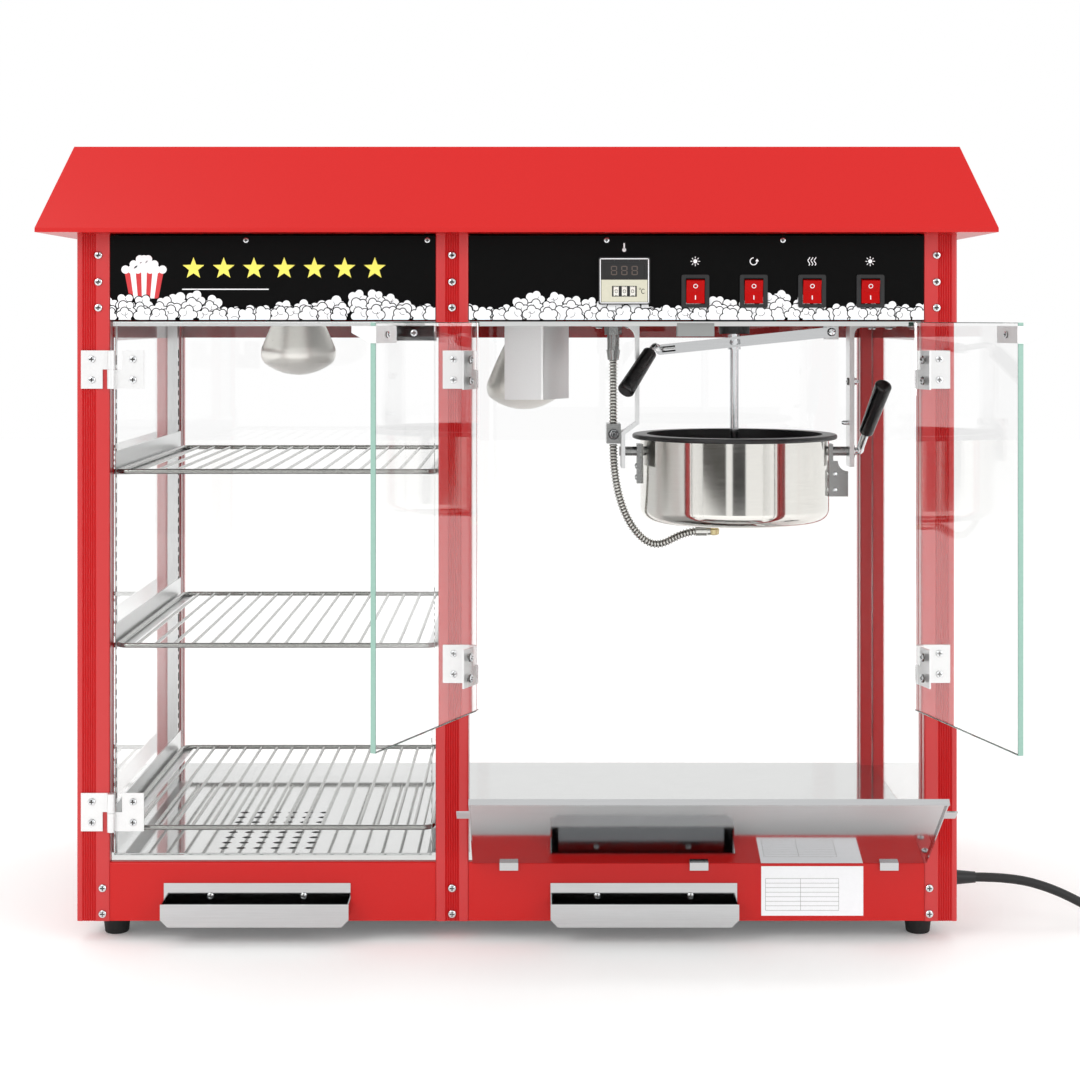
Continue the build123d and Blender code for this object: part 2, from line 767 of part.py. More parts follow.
# Kettle hangers: the right one a plain angle, the left one set out round the rim, and the lever's
# pivot bracket with its pin
hanger_low = axis_z - hanger_below_axis
jog_low = axis_z + rim_above_axis + 1
jog_high = jog_low + 11
lever_pivot_x = kettle_x + lever_reach
lever_pivot_z = ceiling_z - lever_drop
lever_rear = lever_front + lever_thick
with BuildPart() as ceiling_brackets:
    with BuildSketch(Plane.XZ.offset(hanger_width / 2)) as right_hanger:
        with BuildLine():
            Polyline(
                (right_arm, ceiling_z),
                (right_arm + hanger_flange, ceiling_z),
                (right_arm + hanger_flange, ceiling_z - hanger_thick),
                (right_arm + hanger_thick, ceiling_z - hanger_thick),
                (right_arm + hanger_thick, hanger_low),
                (right_arm, hanger_low),
                close=True,
            )
        make_face()
        inner_corner = (right_arm + hanger_thick, ceiling_z - hanger_thick)
        inner = right_hanger.vertices().sort_by_distance(inner_corner)[0]
        fillet(inner, radius=8)
    extrude(amount=-hanger_width)
    with BuildSketch(Plane.XZ.offset(left_arm_width - left_arm_back)) as left_hanger:
        with BuildLine():
            Polyline(
                (left_flange_end, ceiling_z),
                (left_arm, ceiling_z),
                (left_arm, jog_high),
                (left_leg, jog_low),
                (left_leg, hanger_low),
                (left_leg - left_arm_thick, hanger_low),
                (left_leg - left_arm_thick, jog_low + 2),
                (left_arm - left_arm_thick, jog_high + 2),
                (left_arm - left_arm_thick, ceiling_z - left_arm_thick),
                (left_flange_end, ceiling_z - left_arm_thick),
                close=True,
            )
        make_face()
        outer_corner = (left_arm - left_arm_thick, ceiling_z - left_arm_thick)
        outer = left_hanger.vertices().sort_by_distance(outer_corner)[0]
        fillet(outer, radius=13)
    left_depth = left_arm_width - left_arm_back + 2 * pivot_radius
    extrude(amount=-left_depth)
    cut_low = jog_low + 3
    cut_high = ceiling_z - left_arm_thick
    cut_depth = 2 * pivot_radius - left_arm_back
    with Locations((left_arm, 2 * pivot_radius - cut_depth / 2, (cut_low + cut_high) / 2)):
        Box(10 * left_arm_thick, cut_depth, cut_high - cut_low, mode=Mode.SUBTRACT)
    with BuildSketch(Plane.YZ.offset(left_leg - 2 * left_arm_thick)) as pivot_holes:
        with Locations((0, axis_z)):
            Circle(pivot_radius + pivot_clearance)
    extrude(amount=right_arm + 2 * hanger_thick - left_leg + 2 * left_arm_thick, mode=Mode.SUBTRACT)
    with BuildSketch(Plane.YZ.offset(lever_pivot_x - 8)) as lever_bracket:
        with BuildLine():
            FilletPolyline(
                (lever_rear + 1 + sheet / 2, lever_pivot_z - 8),
                (lever_rear + 1 + sheet / 2, ceiling_z - sheet / 2),
                (lever_rear + 1 + flange, ceiling_z - sheet / 2),
                radius=bend,
            )
        trace(line_width=sheet)
    extrude(amount=16)
    with BuildSketch(Plane.XZ.offset(-lever_front + 1)) as lever_pin_section:
        with Locations((lever_pivot_x, lever_pivot_z)):
            Circle(lever_pin)
    extrude(amount=-(lever_thick + 2 + sheet))
ceiling_brackets.part.label = "ceiling_brackets"
export_step(ceiling_brackets.part, "parts/ceiling_brackets.step")

# Detent spring: a flat strip on the right hanger that holds the kettle handle
spring_low = axis_z + 35
spring_high = axis_z + 84
spring_sheet = 0.8
with BuildPart() as detent_spring:
    with BuildSketch(Plane.YZ.offset(right_arm + hanger_thick)) as spring_outline:
        with Locations((-3, (spring_low + spring_high) / 2)):
            SlotOverall(spring_high - spring_low, 10, rotation=90)
    extrude(amount=spring_sheet)
detent_spring.part.label = "detent_spring"
export_step(detent_spring.part, "parts/detent_spring.step")

# Conduit gland under the left hanger's flange and the clamp on the hanger's leg
hose_x = left_leg - left_arm_thick - clamp_width / 2
gland_x = hose_x
gland_top = ceiling_z - left_arm_thick
gland_low = gland_top - gland_drop
clamp_low = axis_z + 9
clamp_high = clamp_low + clamp_height
with BuildPart() as conduit_fittings:
    with BuildSketch(Plane.XY.offset(gland_top)) as gland_nut_outline:
        with Locations((gland_x, 0)):
            RegularPolygon(9.5, 6)
    extrude(amount=-0.25 * gland_drop)
    with BuildSketch(Plane.XY.offset(gland_top - 0.25 * gland_drop)) as gland_body:
        with Locations((gland_x, 0)):
            Circle(6.5)
    extrude(amount=-0.45 * gland_drop)
    with BuildSketch(Plane.XY.offset(gland_top - 0.7 * gland_drop)) as gland_cap:
        with Locations((gland_x, 0)):
            Circle(7.5)
    extrude(amount=-0.3 * gland_drop, taper=8)
    with BuildSketch(Plane.XY.offset(clamp_low)) as clamp_outline:
        with Locations((hose_x, 0)):
            Rectangle(clamp_width, 2 * clamp_width)
            Circle(hose_crest + 0.2, mode=Mode.SUBTRACT)
    extrude(amount=clamp_height)
conduit_fittings.part.label = "conduit_fittings"
export_step(conduit_fittings.part, "parts/conduit_fittings.step")


def rib_stations(length):
    """Places along a conduit and the radius there: root, crest, crest and root for each rib."""
    count = int((length - 4 * hose_crest) / hose_pitch)
    lead = (length - count * hose_pitch) / 2
    stations = [(0, hose_root)]
    for rib in range(count):
        start = lead + rib * hose_pitch
        stations.append((start, hose_root))
        stations.append((start + 0.25 * hose_pitch, hose_crest))
        stations.append((start + 0.5 * hose_pitch, hose_crest))
        stations.append((start + 0.75 * hose_pitch, hose_root))
    stations.append((length, hose_root))
    return stations


# Upper run of the armoured conduit, from the gland down through the clamp
with BuildPart() as upper_conduit:
    with BuildLine() as upper_line:
        Line((gland_x, 0, gland_low), (hose_x, 0, clamp_low))
    upper_path = upper_line.wire()
    for place, radius in rib_stations(upper_path.length):
        share = place / upper_path.length
        way = upper_path.tangent_at(share)
        with BuildSketch(Plane(origin=upper_path.position_at(share), x_dir=(0, 1, 0), z_dir=way)):
            Circle(radius)
    loft(ruled=True)
    with BuildSketch(Plane(origin=upper_path @ 0, z_dir=upper_path % 0)) as upper_bore:
        Circle(hose_bore)
    sweep(path=upper_path, mode=Mode.SUBTRACT)
upper_conduit.part.label = "upper_conduit"
export_step(upper_conduit.part, "parts/upper_conduit.step")

# Lower run, which tips with the kettle: down from the clamp, under the pot and up to its fitting
pot_low = axis_z - pot_below_axis
fitting_x = kettle_x - 28
hose_start = axis_z + 3
hose_points = [
    (hose_x, 0, hose_start),
    (hose_x, 0, hose_start - 22),
    (hose_x + 9, 0, axis_z - 62),
    (hose_x + 27, 0, pot_low - 18),
    (hose_x + 48, 0, pot_low - 29),
    (fitting_x - 26, 0, pot_low - 13),
    (fitting_x - 12, 0, pot_low - 12),
]


def route_radii(points):
    """Radius at each inner point of a route: 0.45 of the shorter run over the tangent of half the turn."""
    radii = []
    for before, here, after in zip(points, points[1:], points[2:]):
        run_in = Vector(here) - Vector(before)
        run_out = Vector(after) - Vector(here)
        turn = math.radians(run_in.get_angle(run_out))
        radii.append(0.45 * min(run_in.length, run_out.length) / math.tan(turn / 2))
    return radii


with BuildPart() as lower_conduit:
    with BuildLine() as lower_line:
        FilletPolyline(hose_points, radius=route_radii(hose_points))
    lower_path = lower_line.wire()
    for place, radius in rib_stations(lower_path.length):
        share = place / lower_path.length
        way = lower_path.tangent_at(share)
        with BuildSketch(Plane(origin=lower_path.position_at(share), x_dir=(0, 1, 0), z_dir=way)):
            Circle(radius)
    loft(ruled=True)
    with BuildSketch(Plane(origin=lower_path @ 0, z_dir=lower_path % 0)) as lower_bore:
        Circle(hose_bore)
    sweep(path=lower_path, mode=Mode.SUBTRACT)
    with BuildSketch(Plane(origin=hose_points[-1], z_dir=(1, 0, 0))) as sleeve:
        Circle(hose_crest + 0.8)
    extrude(amount=14)
    with BuildSketch(Plane.XY.offset(pot_low)) as elbow:
        with Locations((fitting_x + 6, 0)):
            RegularPolygon(6.5, 6)
    extrude(amount=-16)
lower_conduit.part.label = "lower_conduit"
export_step(lower_conduit.part, "parts/lower_conduit.step")

# Outer pot of the kettle, a spun steel cup
rim_top = axis_z + rim_above_axis
pot_top = rim_top - rim_height
kettle_plane = Plane(origin=(kettle_x, 0, 0), x_dir=(1, 0, 0), z_dir=(0, -1, 0))
kettle_axis = Axis((kettle_x, 0, 0), (0, 0, 1))


def cup_profile(radius, low, high, wall, corner):
    """Half section of a round cup with a rounded foot, as points for lines and arcs."""
    soft = corner * (1 - math.sqrt(0.5))
    Line((0, low), (radius - corner, low))
    ThreePointArc((radius - corner, low), (radius - soft, low + soft), (radius, low + corner))
    Polyline((radius, low + corner), (radius, high), (radius - wall, high), (radius - wall, low + corner))
    inside = corner - wall
    dip = inside * (1 - math.sqrt(0.5))
    ThreePointArc(
        (radius - wall, low + corner),
        (radius - wall - dip, low + wall + dip),
        (radius - corner, low + wall),
    )
    Polyline((radius - corner, low + wall), (0, low + wall), (0, low))


with BuildPart() as kettle_pot:
    with BuildSketch(kettle_plane) as pot_section:
        with BuildLine():
            cup_profile(pot_radius, pot_low, pot_top, pot_wall, pot_corner)
        make_face()
    revolve(axis=kettle_axis)
kettle_pot.part.label = "kettle_pot"
export_step(kettle_pot.part, "parts/kettle_pot.step")

# Coated liner with a broad rim that sits on the pot, and a pin for the stirrer
liner_low = pot_low + pot_wall + liner_floor_gap
stirrer_pin = 3
with BuildPart() as kettle_liner:
    with BuildSketch(kettle_plane) as liner_section:
        with BuildLine():
            cup_profile(liner_radius, liner_low, rim_top, liner_wall, pot_corner)
        make_face()
        with Locations(((liner_radius - liner_wall + rim_radius) / 2, rim_top - rim_height / 2)):
            RectangleRounded(rim_radius - liner_radius + liner_wall, rim_height, 0.4 * rim_height)
        with Locations((stirrer_pin / 2, liner_low + liner_wall + 6)):
            Rectangle(stirrer_pin, 12)
    revolve(axis=kettle_axis)
kettle_liner.part.label = "kettle_liner"
export_step(kettle_liner.part, "parts/kettle_liner.step")

# Ring heating element pressed to the underside of the liner
with BuildPart() as kettle_element:
    with BuildSketch(kettle_plane) as element_section:
        with Locations((element_radius, liner_low - element_tube)):
            Circle(element_tube)
    revolve(axis=kettle_axis, revolution_arc=320)
kettle_element.part.label = "kettle_element"
export_step(kettle_element.part, "parts/kettle_element.step")

# Kettle brackets: a strip on each side of the pot with its pivot pin, the right one with a gusset
bracket_high = axis_z + 8
left_bracket_low = axis_z - 34
right_bracket_low = axis_z - 48
pot_left = kettle_x - pot_radius
pot_right = kettle_x + pot_radius
gusset_end = right_arm - 1
gusset_notch = 11
with BuildPart() as kettle_brackets:
    for side_x, low, outward in ((pot_left, left_bracket_low, -1), (pot_right, right_bracket_low, 1)):
        with Locations((side_x + outward * (bracket_wall / 2 - 1), 0, (low + bracket_high) / 2)):
            Box(bracket_wall, bracket_width, bracket_high - low)
    with Locations((kettle_x, 0, axis_z)):
        Cylinder(pot_radius, 4 * pot_below_axis, mode=Mode.SUBTRACT)
    with BuildSketch(Plane.YZ.offset(pot_left - bracket_wall / 2)) as left_pin:
        with Locations((0, axis_z)):
            Circle(pivot_radius)
    extrude(amount=left_leg - left_arm_thick - 1 - pot_left + bracket_wall / 2)
    with BuildSketch(Plane.YZ.offset(pot_right + bracket_wall / 2)) as right_pin:
        with Locations((0, axis_z)):
            Circle(pivot_radius)
    extrude(amount=right_arm + hanger_thick + 2 - pot_right - bracket_wall / 2)
    gusset_x = pot_right + bracket_wall / 2
    with BuildSketch(Plane.XZ.offset(bracket_width / 2)) as gusset:
        with Locations(((gusset_x + gusset_end) / 2, (right_bracket_low + axis_z - 10) / 2)):
            Rectangle(gusset_end - gusset_x, axis_z - 10 - right_bracket_low)
        with Locations((gusset_end, axis_z - 10)):
            Circle(gusset_notch, mode=Mode.SUBTRACT)
    extrude(amount=-3)
kettle_brackets.part.label = "kettle_brackets"
export_step(kettle_brackets.part, "parts/kettle_brackets.step")

# Kettle handle: a bent rod from the right pivot, up and forward into a tapered grip
handle_x = right_arm + hanger_thick + 2
grip_start = Vector(handle_x + grip_foot_out, -grip_foot_forward, axis_z + grip_foot_up)
grip_end = Vector(handle_x + grip_head_out, -grip_head_forward, axis_z + grip_head_up)
grip_way = (grip_end - grip_start).normalized()
rod_bend = Vector(handle_x + rod_bend_out, -rod_bend_forward, axis_z + rod_bend_up)
with BuildPart() as kettle_handle:
    with BuildLine() as handle_line:
        FilletPolyline(
            (handle_x, 0, axis_z),
            (handle_x + 6, 0, axis_z),
            rod_bend,
            grip_start,
            grip_start + grip_way * 40,
            radius=(3, 6, 10),
        )
    with BuildSketch(Plane.YZ.offset(handle_x)) as handle_section:
        with Locations((0, axis_z)):
            Circle(rod_radius)
    sweep(path=handle_line.wire())
kettle_handle.part.label = "kettle_handle"
export_step(kettle_handle.part, "parts/kettle_handle.step")

rod_fit = 0.1
with BuildPart() as kettle_grip:
    with BuildSketch(Plane(origin=grip_start, z_dir=grip_way)) as grip_foot:
        Circle(grip_radius - grip_taper)
    with BuildSketch(Plane(origin=grip_end, z_dir=grip_way)) as grip_head:
        Circle(grip_radius)
    loft()
    fillet(kettle_grip.edges().filter_by(GeomType.CIRCLE), radius=3)
    with BuildSketch(Plane(origin=grip_start, z_dir=grip_way)) as grip_bore:
        Circle(rod_radius + rod_fit)
    extrude(amount=42, mode=Mode.SUBTRACT)
kettle_grip.part.label = "kettle_grip"
export_step(kettle_grip.part, "parts/kettle_grip.step")

# Stirrer: a slotted post turning on the liner's pin, with two swept arms
stirrer_floor = liner_low + liner_wall + 1
stirrer_top = axis_z - stirrer_post_gap
with BuildPart() as stirrer:
    with BuildSketch(Plane.XY.offset(stirrer_floor)) as hub:
        with Locations((kettle_x, 0)):
            Circle(stirrer_post_radius + 3)
    extrude(amount=14)
    with BuildSketch(Plane.XY.offset(stirrer_floor)) as post:
        with Locations((kettle_x, 0)):
            Circle(stirrer_post_radius)
    extrude(amount=stirrer_top - stirrer_floor)
    with BuildSketch(Plane.XY.offset(stirrer_floor)) as arms:
        for turn in (0, 180):
            with BuildLine(Plane(origin=(kettle_x, 0, 0)).rotated((0, 0, turn))):
                ThreePointArc((0, 0), (0.55 * stirrer_reach, -0.12 * stirrer_reach), (stirrer_reach, 0))
            trace(line_width=stirrer_bar)
    extrude(amount=stirrer_blade)
    with BuildSketch(Plane.XY.offset(stirrer_floor)) as pin_bore:
        with Locations((kettle_x, 0)):
            Circle(stirrer_pin + pivot_clearance)
    extrude(amount=13, mode=Mode.SUBTRACT)
    with Locations((kettle_x, 0, stirrer_top - stirrer_slot_depth / 2)):
        Box(stirrer_slot, 3 * stirrer_post_radius, stirrer_slot_depth, mode=Mode.SUBTRACT)
stirrer.part.label = "stirrer"
export_step(stirrer.part, "parts/stirrer.step")

# Drive shaft with two shoulders for the lift collar and a flat tongue that drops into the stirrer
collar_z = lever_pivot_z - lever_reach * math.tan(math.radians(lever_slope))
shaft_low = axis_z + shaft_lift_gap
shoulder_gap = collar_height / 2 + pivot_clearance
with BuildPart() as drive_shaft:
    with BuildSketch(Plane.XY.offset(shaft_low + tongue_height)) as shaft_section:
        with Locations((kettle_x, 0)):
            Circle(shaft_radius)
    extrude(amount=shaft_top - shaft_low - tongue_height)
    with BuildSketch(Plane.XY.offset(shaft_low)) as tongue:
        with Locations((kettle_x, 0)):
            Rectangle(tongue_thick, 1.7 * shaft_radius)
    extrude(amount=tongue_height)
    for shoulder_z in (collar_z + shoulder_gap, collar_z - shoulder_gap - shoulder_height):
        with BuildSketch(Plane.XY.offset(shoulder_z)) as shoulder:
            with Locations((kettle_x, 0)):
                Circle(collar_radius - 0.5)
        extrude(amount=shoulder_height)
drive_shaft.part.label = "drive_shaft"
export_step(drive_shaft.part, "parts/drive_shaft.step")

# Lift collar: a ring between the shaft's shoulders, with a pin forward through the lever's slot
with BuildPart() as lift_collar:
    with BuildSketch(Plane.XY.offset(collar_z - collar_height / 2)) as collar_ring:
        with Locations((kettle_x, 0)):
            Circle(collar_radius)
    extrude(amount=collar_height)
    with BuildSketch(Plane.XZ) as pin_section:
        with Locations((kettle_x, collar_z)):
            Circle(collar_pin)
    extrude(amount=2 - lever_front)
    with BuildSketch(Plane.XY.offset(collar_z - collar_height)) as collar_bore:
        with Locations((kettle_x, 0)):
            Circle(shaft_radius + shaft_clearance)
    extrude(amount=2 * collar_height, mode=Mode.SUBTRACT)
lift_collar.part.label = "lift_collar"
export_step(lift_collar.part, "parts/lift_collar.step")

# Lift lever: a flat bar on edge in front of the shaft, hung at its right end, with a rod to its grip
lever_tilt = math.radians(lever_slope)
bar_way = Vector(-math.cos(lever_tilt), 0, -math.sin(lever_tilt))
lever_pivot = Vector(lever_pivot_x, lever_front + lever_thick / 2, lever_pivot_z)
bar_end = lever_pivot + bar_way * lever_length
lever_plane = Plane(
    origin=(lever_pivot_x, lever_front, lever_pivot_z), x_dir=tuple(bar_way), z_dir=(0, 1, 0)
)
lever_bend = bar_end + Vector(-lever_rod_left, -lever_rod_forward, lever_rod_up)
lever_grip_end = lever_bend + Vector(-lever_grip_left, -lever_grip_forward, -lever_grip_drop)
lever_grip_way = (lever_grip_end - lever_bend).normalized()
lever_grip_start = lever_bend + lever_grip_way * lever_neck
slot_place = lever_reach / math.cos(lever_tilt)
with BuildPart() as lift_lever:
    with BuildSketch(lever_plane) as bar_outline:
        with Locations((lever_length / 2, 0)):
            SlotOverall(lever_length + lever_height, lever_height)
        Circle(lever_pin + pivot_clearance, mode=Mode.SUBTRACT)
        with Locations((slot_place, 0)):
            SlotOverall(12, 2 * (collar_pin + pivot_clearance + 0.1), mode=Mode.SUBTRACT)
    extrude(amount=lever_thick)
    with BuildLine() as lever_line:
        FilletPolyline(
            bar_end - bar_way * 16,
            bar_end,
            lever_bend,
            lever_grip_start + lever_grip_way * 40,
            radius=(6, 10),
        )
    with BuildSketch(Plane(origin=lever_line.wire() @ 0, z_dir=lever_line.wire() % 0)) as lever_rod:
        Circle(rod_radius - 0.5)
    sweep(path=lever_line.wire())
lift_lever.part.label = "lift_lever"
export_step(lift_lever.part, "parts/lift_lever.step")

with BuildPart() as lever_grip:
    with BuildSketch(Plane(origin=lever_grip_start, z_dir=lever_grip_way)) as lever_grip_foot:
        Circle(grip_radius - grip_taper)
    with BuildSketch(Plane(origin=lever_grip_end, z_dir=lever_grip_way)) as lever_grip_head:
        Circle(grip_radius)
    loft()
    fillet(lever_grip.edges().filter_by(GeomType.CIRCLE), radius=3)
    with BuildSketch(Plane(origin=lever_grip_start, z_dir=lever_grip_way)) as lever_grip_bore:
        Circle(rod_radius - 0.5 + rod_fit)
    extrude(amount=42, mode=Mode.SUBTRACT)
lever_grip.part.label = "lever_grip"
export_step(lever_grip.part, "parts/lever_grip.step")

# Temperature controller: a bezel on the panel, a display recess and three wells for setting wheels
controller_front = front_outer - controller_proud
wheel_y = controller_front + wheel_radius - wheel_proud
wheel_z = controller_z - 0.22 * controller_height
wheel_xs = [controller_x + i * wheel_pitch for i in (-1, 0, 1)]
axle_radius = 1.5
bezel_plane = Plane.XZ.offset(-front_outer)
with BuildPart() as controller_housing:
    with BuildSketch(bezel_plane) as bezel:
        with Locations((controller_x, controller_z)):
            RectangleRounded(controller_width, controller_height, 2)
    extrude(amount=controller_proud)
    with BuildSketch(bezel_plane) as controller_body:
        with Locations((controller_x, controller_z)):
            Rectangle(controller_width - cutout_margin, controller_height - cutout_margin)
    extrude(amount=-controller_depth)
    with BuildSketch(Plane.XZ.offset(-controller_front)) as display_recess:
        with Locations((controller_x, controller_z + 0.22 * controller_height)):
            RectangleRounded(0.8 * controller_width, 0.34 * controller_height, 1)
    extrude(amount=-1.2, mode=Mode.SUBTRACT)
    for wheel_x in wheel_xs:
        well_width = wheel_width + 2 * wheel_clearance
        with BuildSketch(Plane.YZ.offset(wheel_x - well_width / 2)) as wheel_well:
            with Locations((wheel_y, wheel_z)):
                Circle(wheel_radius + wheel_clearance)
        extrude(amount=well_width, mode=Mode.SUBTRACT)
    with BuildSketch(Plane.YZ.offset(wheel_xs[0] - wheel_pitch)) as wheel_axle:
        with Locations((wheel_y, wheel_z)):
            Circle(axle_radius)
    extrude(amount=4 * wheel_pitch)
controller_housing.part.label = "controller_housing"
export_step(controller_housing.part, "parts/controller_housing.step")


def setting_wheel(wheel_x):
    """A thumb wheel on the controller's axle, notched round its edge."""
    with BuildPart() as wheel:
        with BuildSketch(Plane.YZ.offset(wheel_x - wheel_width / 2)) as wheel_outline:
            with Locations((wheel_y, wheel_z)):
                Circle(wheel_radius)
                Circle(axle_radius + pivot_clearance, mode=Mode.SUBTRACT)
                with PolarLocations(wheel_radius, 10):
                    Rectangle(1, 1.6, mode=Mode.SUBTRACT)
        extrude(amount=wheel_width)
    return wheel


hundreds_wheel = setting_wheel(wheel_xs[0])
hundreds_wheel.part.label = "hundreds_wheel"
export_step(hundreds_wheel.part, "parts/hundreds_wheel.step")

tens_wheel = setting_wheel(wheel_xs[1])
tens_wheel.part.label = "tens_wheel"
export_step(tens_wheel.part, "parts/tens_wheel.step")

units_wheel = setting_wheel(wheel_xs[2])
units_wheel.part.label = "units_wheel"
export_step(units_wheel.part, "parts/units_wheel.step")

# Switch housings: a bezel on the panel, a body behind it and a well for the rocker
rocker_pivot_y = front_outer - switch_proud + 4
well_height = rocker_height + 2 * rocker_clearance + 0.8
with BuildPart() as switch_housings:
    with BuildSketch(bezel_plane) as switch_bezels:
        with Locations([(x, switch_z) for x in switch_xs]):
            RectangleRounded(switch_width, switch_height, 2)
    extrude(amount=switch_proud)
    with BuildSketch(bezel_plane) as switch_bodies:
        with Locations([(x, switch_z) for x in switch_xs]):
            Rectangle(switch_width - cutout_margin, switch_height - cutout_margin)
    extrude(amount=-switch_depth)
    with BuildSketch(Plane.XZ.offset(-front_outer + switch_proud)) as switch_wells:
        with Locations([(x, switch_z) for x in switch_xs]):
            Rectangle(rocker_width + 2 * rocker_clearance, well_height)
    extrude(amount=-(switch_proud + switch_depth - sheet), mode=Mode.SUBTRACT)
switch_housings.part.label = "switch_housings"
export_step(switch_housings.part, "parts/switch_housings.step")


def rocker(rocker_x):
    """A see-saw key with a shallow V face and a round belly, tipped to its off side."""
    half = rocker_height / 2
    belly = math.hypot(3, half - 0.4)
    tip = math.radians(rocker_angle)
    with BuildPart() as key:
        key_plane = Plane(
            origin=(rocker_x - rocker_width / 2, rocker_pivot_y, switch_z),
            x_dir=(0, math.cos(tip), math.sin(tip)),
            z_dir=(1, 0, 0),
        )
        with BuildSketch(key_plane) as key_section:
            with BuildLine():
                Polyline((-6.4, half - 0.4), (-4, 0), (-6.4, 0.4 - half), (-3, -half + 0.4))
                ThreePointArc((-3, -half + 0.4), (belly, 0), (-3, half - 0.4))
                Line((-3, half - 0.4), (-6.4, half - 0.4))
            make_face()
        extrude(amount=rocker_width)
    return key


rocker_1 = rocker(switch_xs[0])
rocker_1.part.label = "rocker_1"
export_step(rocker_1.part, "parts/rocker_1.step")

rocker_2 = rocker(switch_xs[1])
rocker_2.part.label = "rocker_2"
export_step(rocker_2.part, "parts/rocker_2.step")

rocker_3 = rocker(switch_xs[2])
rocker_3.part.label = "rocker_3"
export_step(rocker_3.part, "parts/rocker_3.step")

rocker_4 = rocker(switch_xs[3])
rocker_4.part.label = "rocker_4"
export_step(rocker_4.part, "parts/rocker_4.step")

# Doors. Each swings about the barrel of its hinges; swing is 1 for hinges on the left and -1 for
# hinges on the right. Leaves lie flat on the posts and on the glass, and a bent sheet at the free
# top corner meets a magnet and sticks out as a pull.
warmer_hinge_x = left_inner + door_gap + hinge_setback
left_hinge_x = middle_right + door_gap + hinge_setback
right_hinge_x = right_inner - door_gap - hinge_setback
door_width = (right_hinge_x - left_hinge_x - 2 * door_meeting_gap) / 2
warmer_door_width = middle_left - 2 * door_gap - 0.5 - warmer_hinge_x
upper_hinge_z = door_top - hinge_inset
warmer_hinges = (warmer_door_bottom + hinge_inset - 4, upper_hinge_z)
popper_hinges = (popper_door_bottom + hinge_inset - 2, upper_hinge_z)


def door_plane(hinge_x, swing, angle):
    """Plane on a hinge line: X runs from the hinge to the free edge, Z is up."""
    turn = math.radians(angle)
    return Plane(
        origin=(hinge_x, hinge_y, 0),
        x_dir=(swing * math.cos(turn), -math.sin(turn), 0),
        z_dir=(0, 0, 1),
    )


def door_glass(plane, swing, width, bottom):
    """The pane, with ground edges."""
    with BuildPart(plane) as pane:
        with Locations(
            (
                (door_gap + width) / 2,
                swing * (hinge_radius + glass / 2),
                (bottom + door_top) / 2,
            )
        ):
            Box(width - door_gap, glass, door_top - bottom)
        chamfer(pane.edges(), length=0.6)
    return pane


def door_fittings(plane, swing, width, hinge_levels):
    """Hinge leaves with the lower half of each barrel, and the catch plate with its pull."""
    leaf_y = swing * (hinge_radius - leaf_sheet / 2)
    leaf_start = hinge_radius + leaf_neck
    barrel_half = leaf_height / 2 - hinge_clearance / 2
    inner_y = hinge_radius + glass
    catch_top = door_top - catch_drop
    with BuildPart(plane) as fittings:
        for level in hinge_levels:
            barrel_z = level - hinge_clearance / 2 - barrel_half / 2
            with Locations((leaf_start + leaf_width / 2, leaf_y, level)):
                Box(leaf_width, leaf_sheet, leaf_height)
            with Locations((leaf_start / 2 + 1, leaf_y, barrel_z)):
                Box(leaf_start - 2 + 4, leaf_sheet, barrel_half)
            with Locations((0, 0, barrel_z)):
                Cylinder(hinge_radius, barrel_half)
                Cylinder(hinge_pin + hinge_clearance, 2 * barrel_half, mode=Mode.SUBTRACT)
        with Locations(
            (
                width - catch_length / 2 + 0.3 + catch_sheet / 2,
                swing * (inner_y + catch_sheet / 2),
                catch_top - catch_height / 2,
            )
        ):
            Box(catch_length + catch_sheet, catch_sheet, catch_height)
        tab_plane = Plane(
            origin=plane.from_local_coords((width + 0.3, 0, 0)),
            x_dir=plane.y_dir * swing,
            z_dir=plane.x_dir * swing,
        )
        with BuildSketch(tab_plane) as pull:
            with BuildLine():
                Polyline(
                    (inner_y + catch_sheet, catch_top),
                    (hinge_radius - pull_length, catch_top),
                    (hinge_radius - pull_length, catch_top - 0.4 * catch_height),
                    (hinge_radius, catch_top - catch_height),
                    (inner_y + catch_sheet, catch_top - catch_height),
                    close=True,
                )
            make_face()
        extrude(amount=swing * catch_sheet)
    return fittings


warmer_plane = door_plane(warmer_hinge_x, 1, 0)
warmer_door_glass = door_glass(warmer_plane, 1, warmer_door_width, warmer_door_bottom)
warmer_door_glass.part.label = "warmer_door_glass"
export_step(warmer_door_glass.part, "parts/warmer_door_glass.step")

warmer_door_fittings = door_fittings(warmer_plane, 1, warmer_door_width, warmer_hinges)
warmer_door_fittings.part.label = "warmer_door_fittings"
export_step(warmer_door_fittings.part, "parts/warmer_door_fittings.step")

left_plane = door_plane(left_hinge_x, 1, left_door_open)
left_door_glass = door_glass(left_plane, 1, door_width, popper_door_bottom)
left_door_glass.part.label = "left_door_glass"
export_step(left_door_glass.part, "parts/left_door_glass.step")

left_door_fittings = door_fittings(left_plane, 1, door_width, popper_hinges)
left_door_fittings.part.label = "left_door_fittings"
export_step(left_door_fittings.part, "parts/left_door_fittings.step")

right_plane = door_plane(right_hinge_x, -1, right_door_open)
right_door_glass = door_glass(right_plane, -1, door_width, popper_door_bottom)
right_door_glass.part.label = "right_door_glass"
export_step(right_door_glass.part, "parts/right_door_glass.step")

right_door_fittings = door_fittings(right_plane, -1, door_width, popper_hinges)
right_door_fittings.part.label = "right_door_fittings"
export_step(right_door_fittings.part, "parts/right_door_fittings.step")

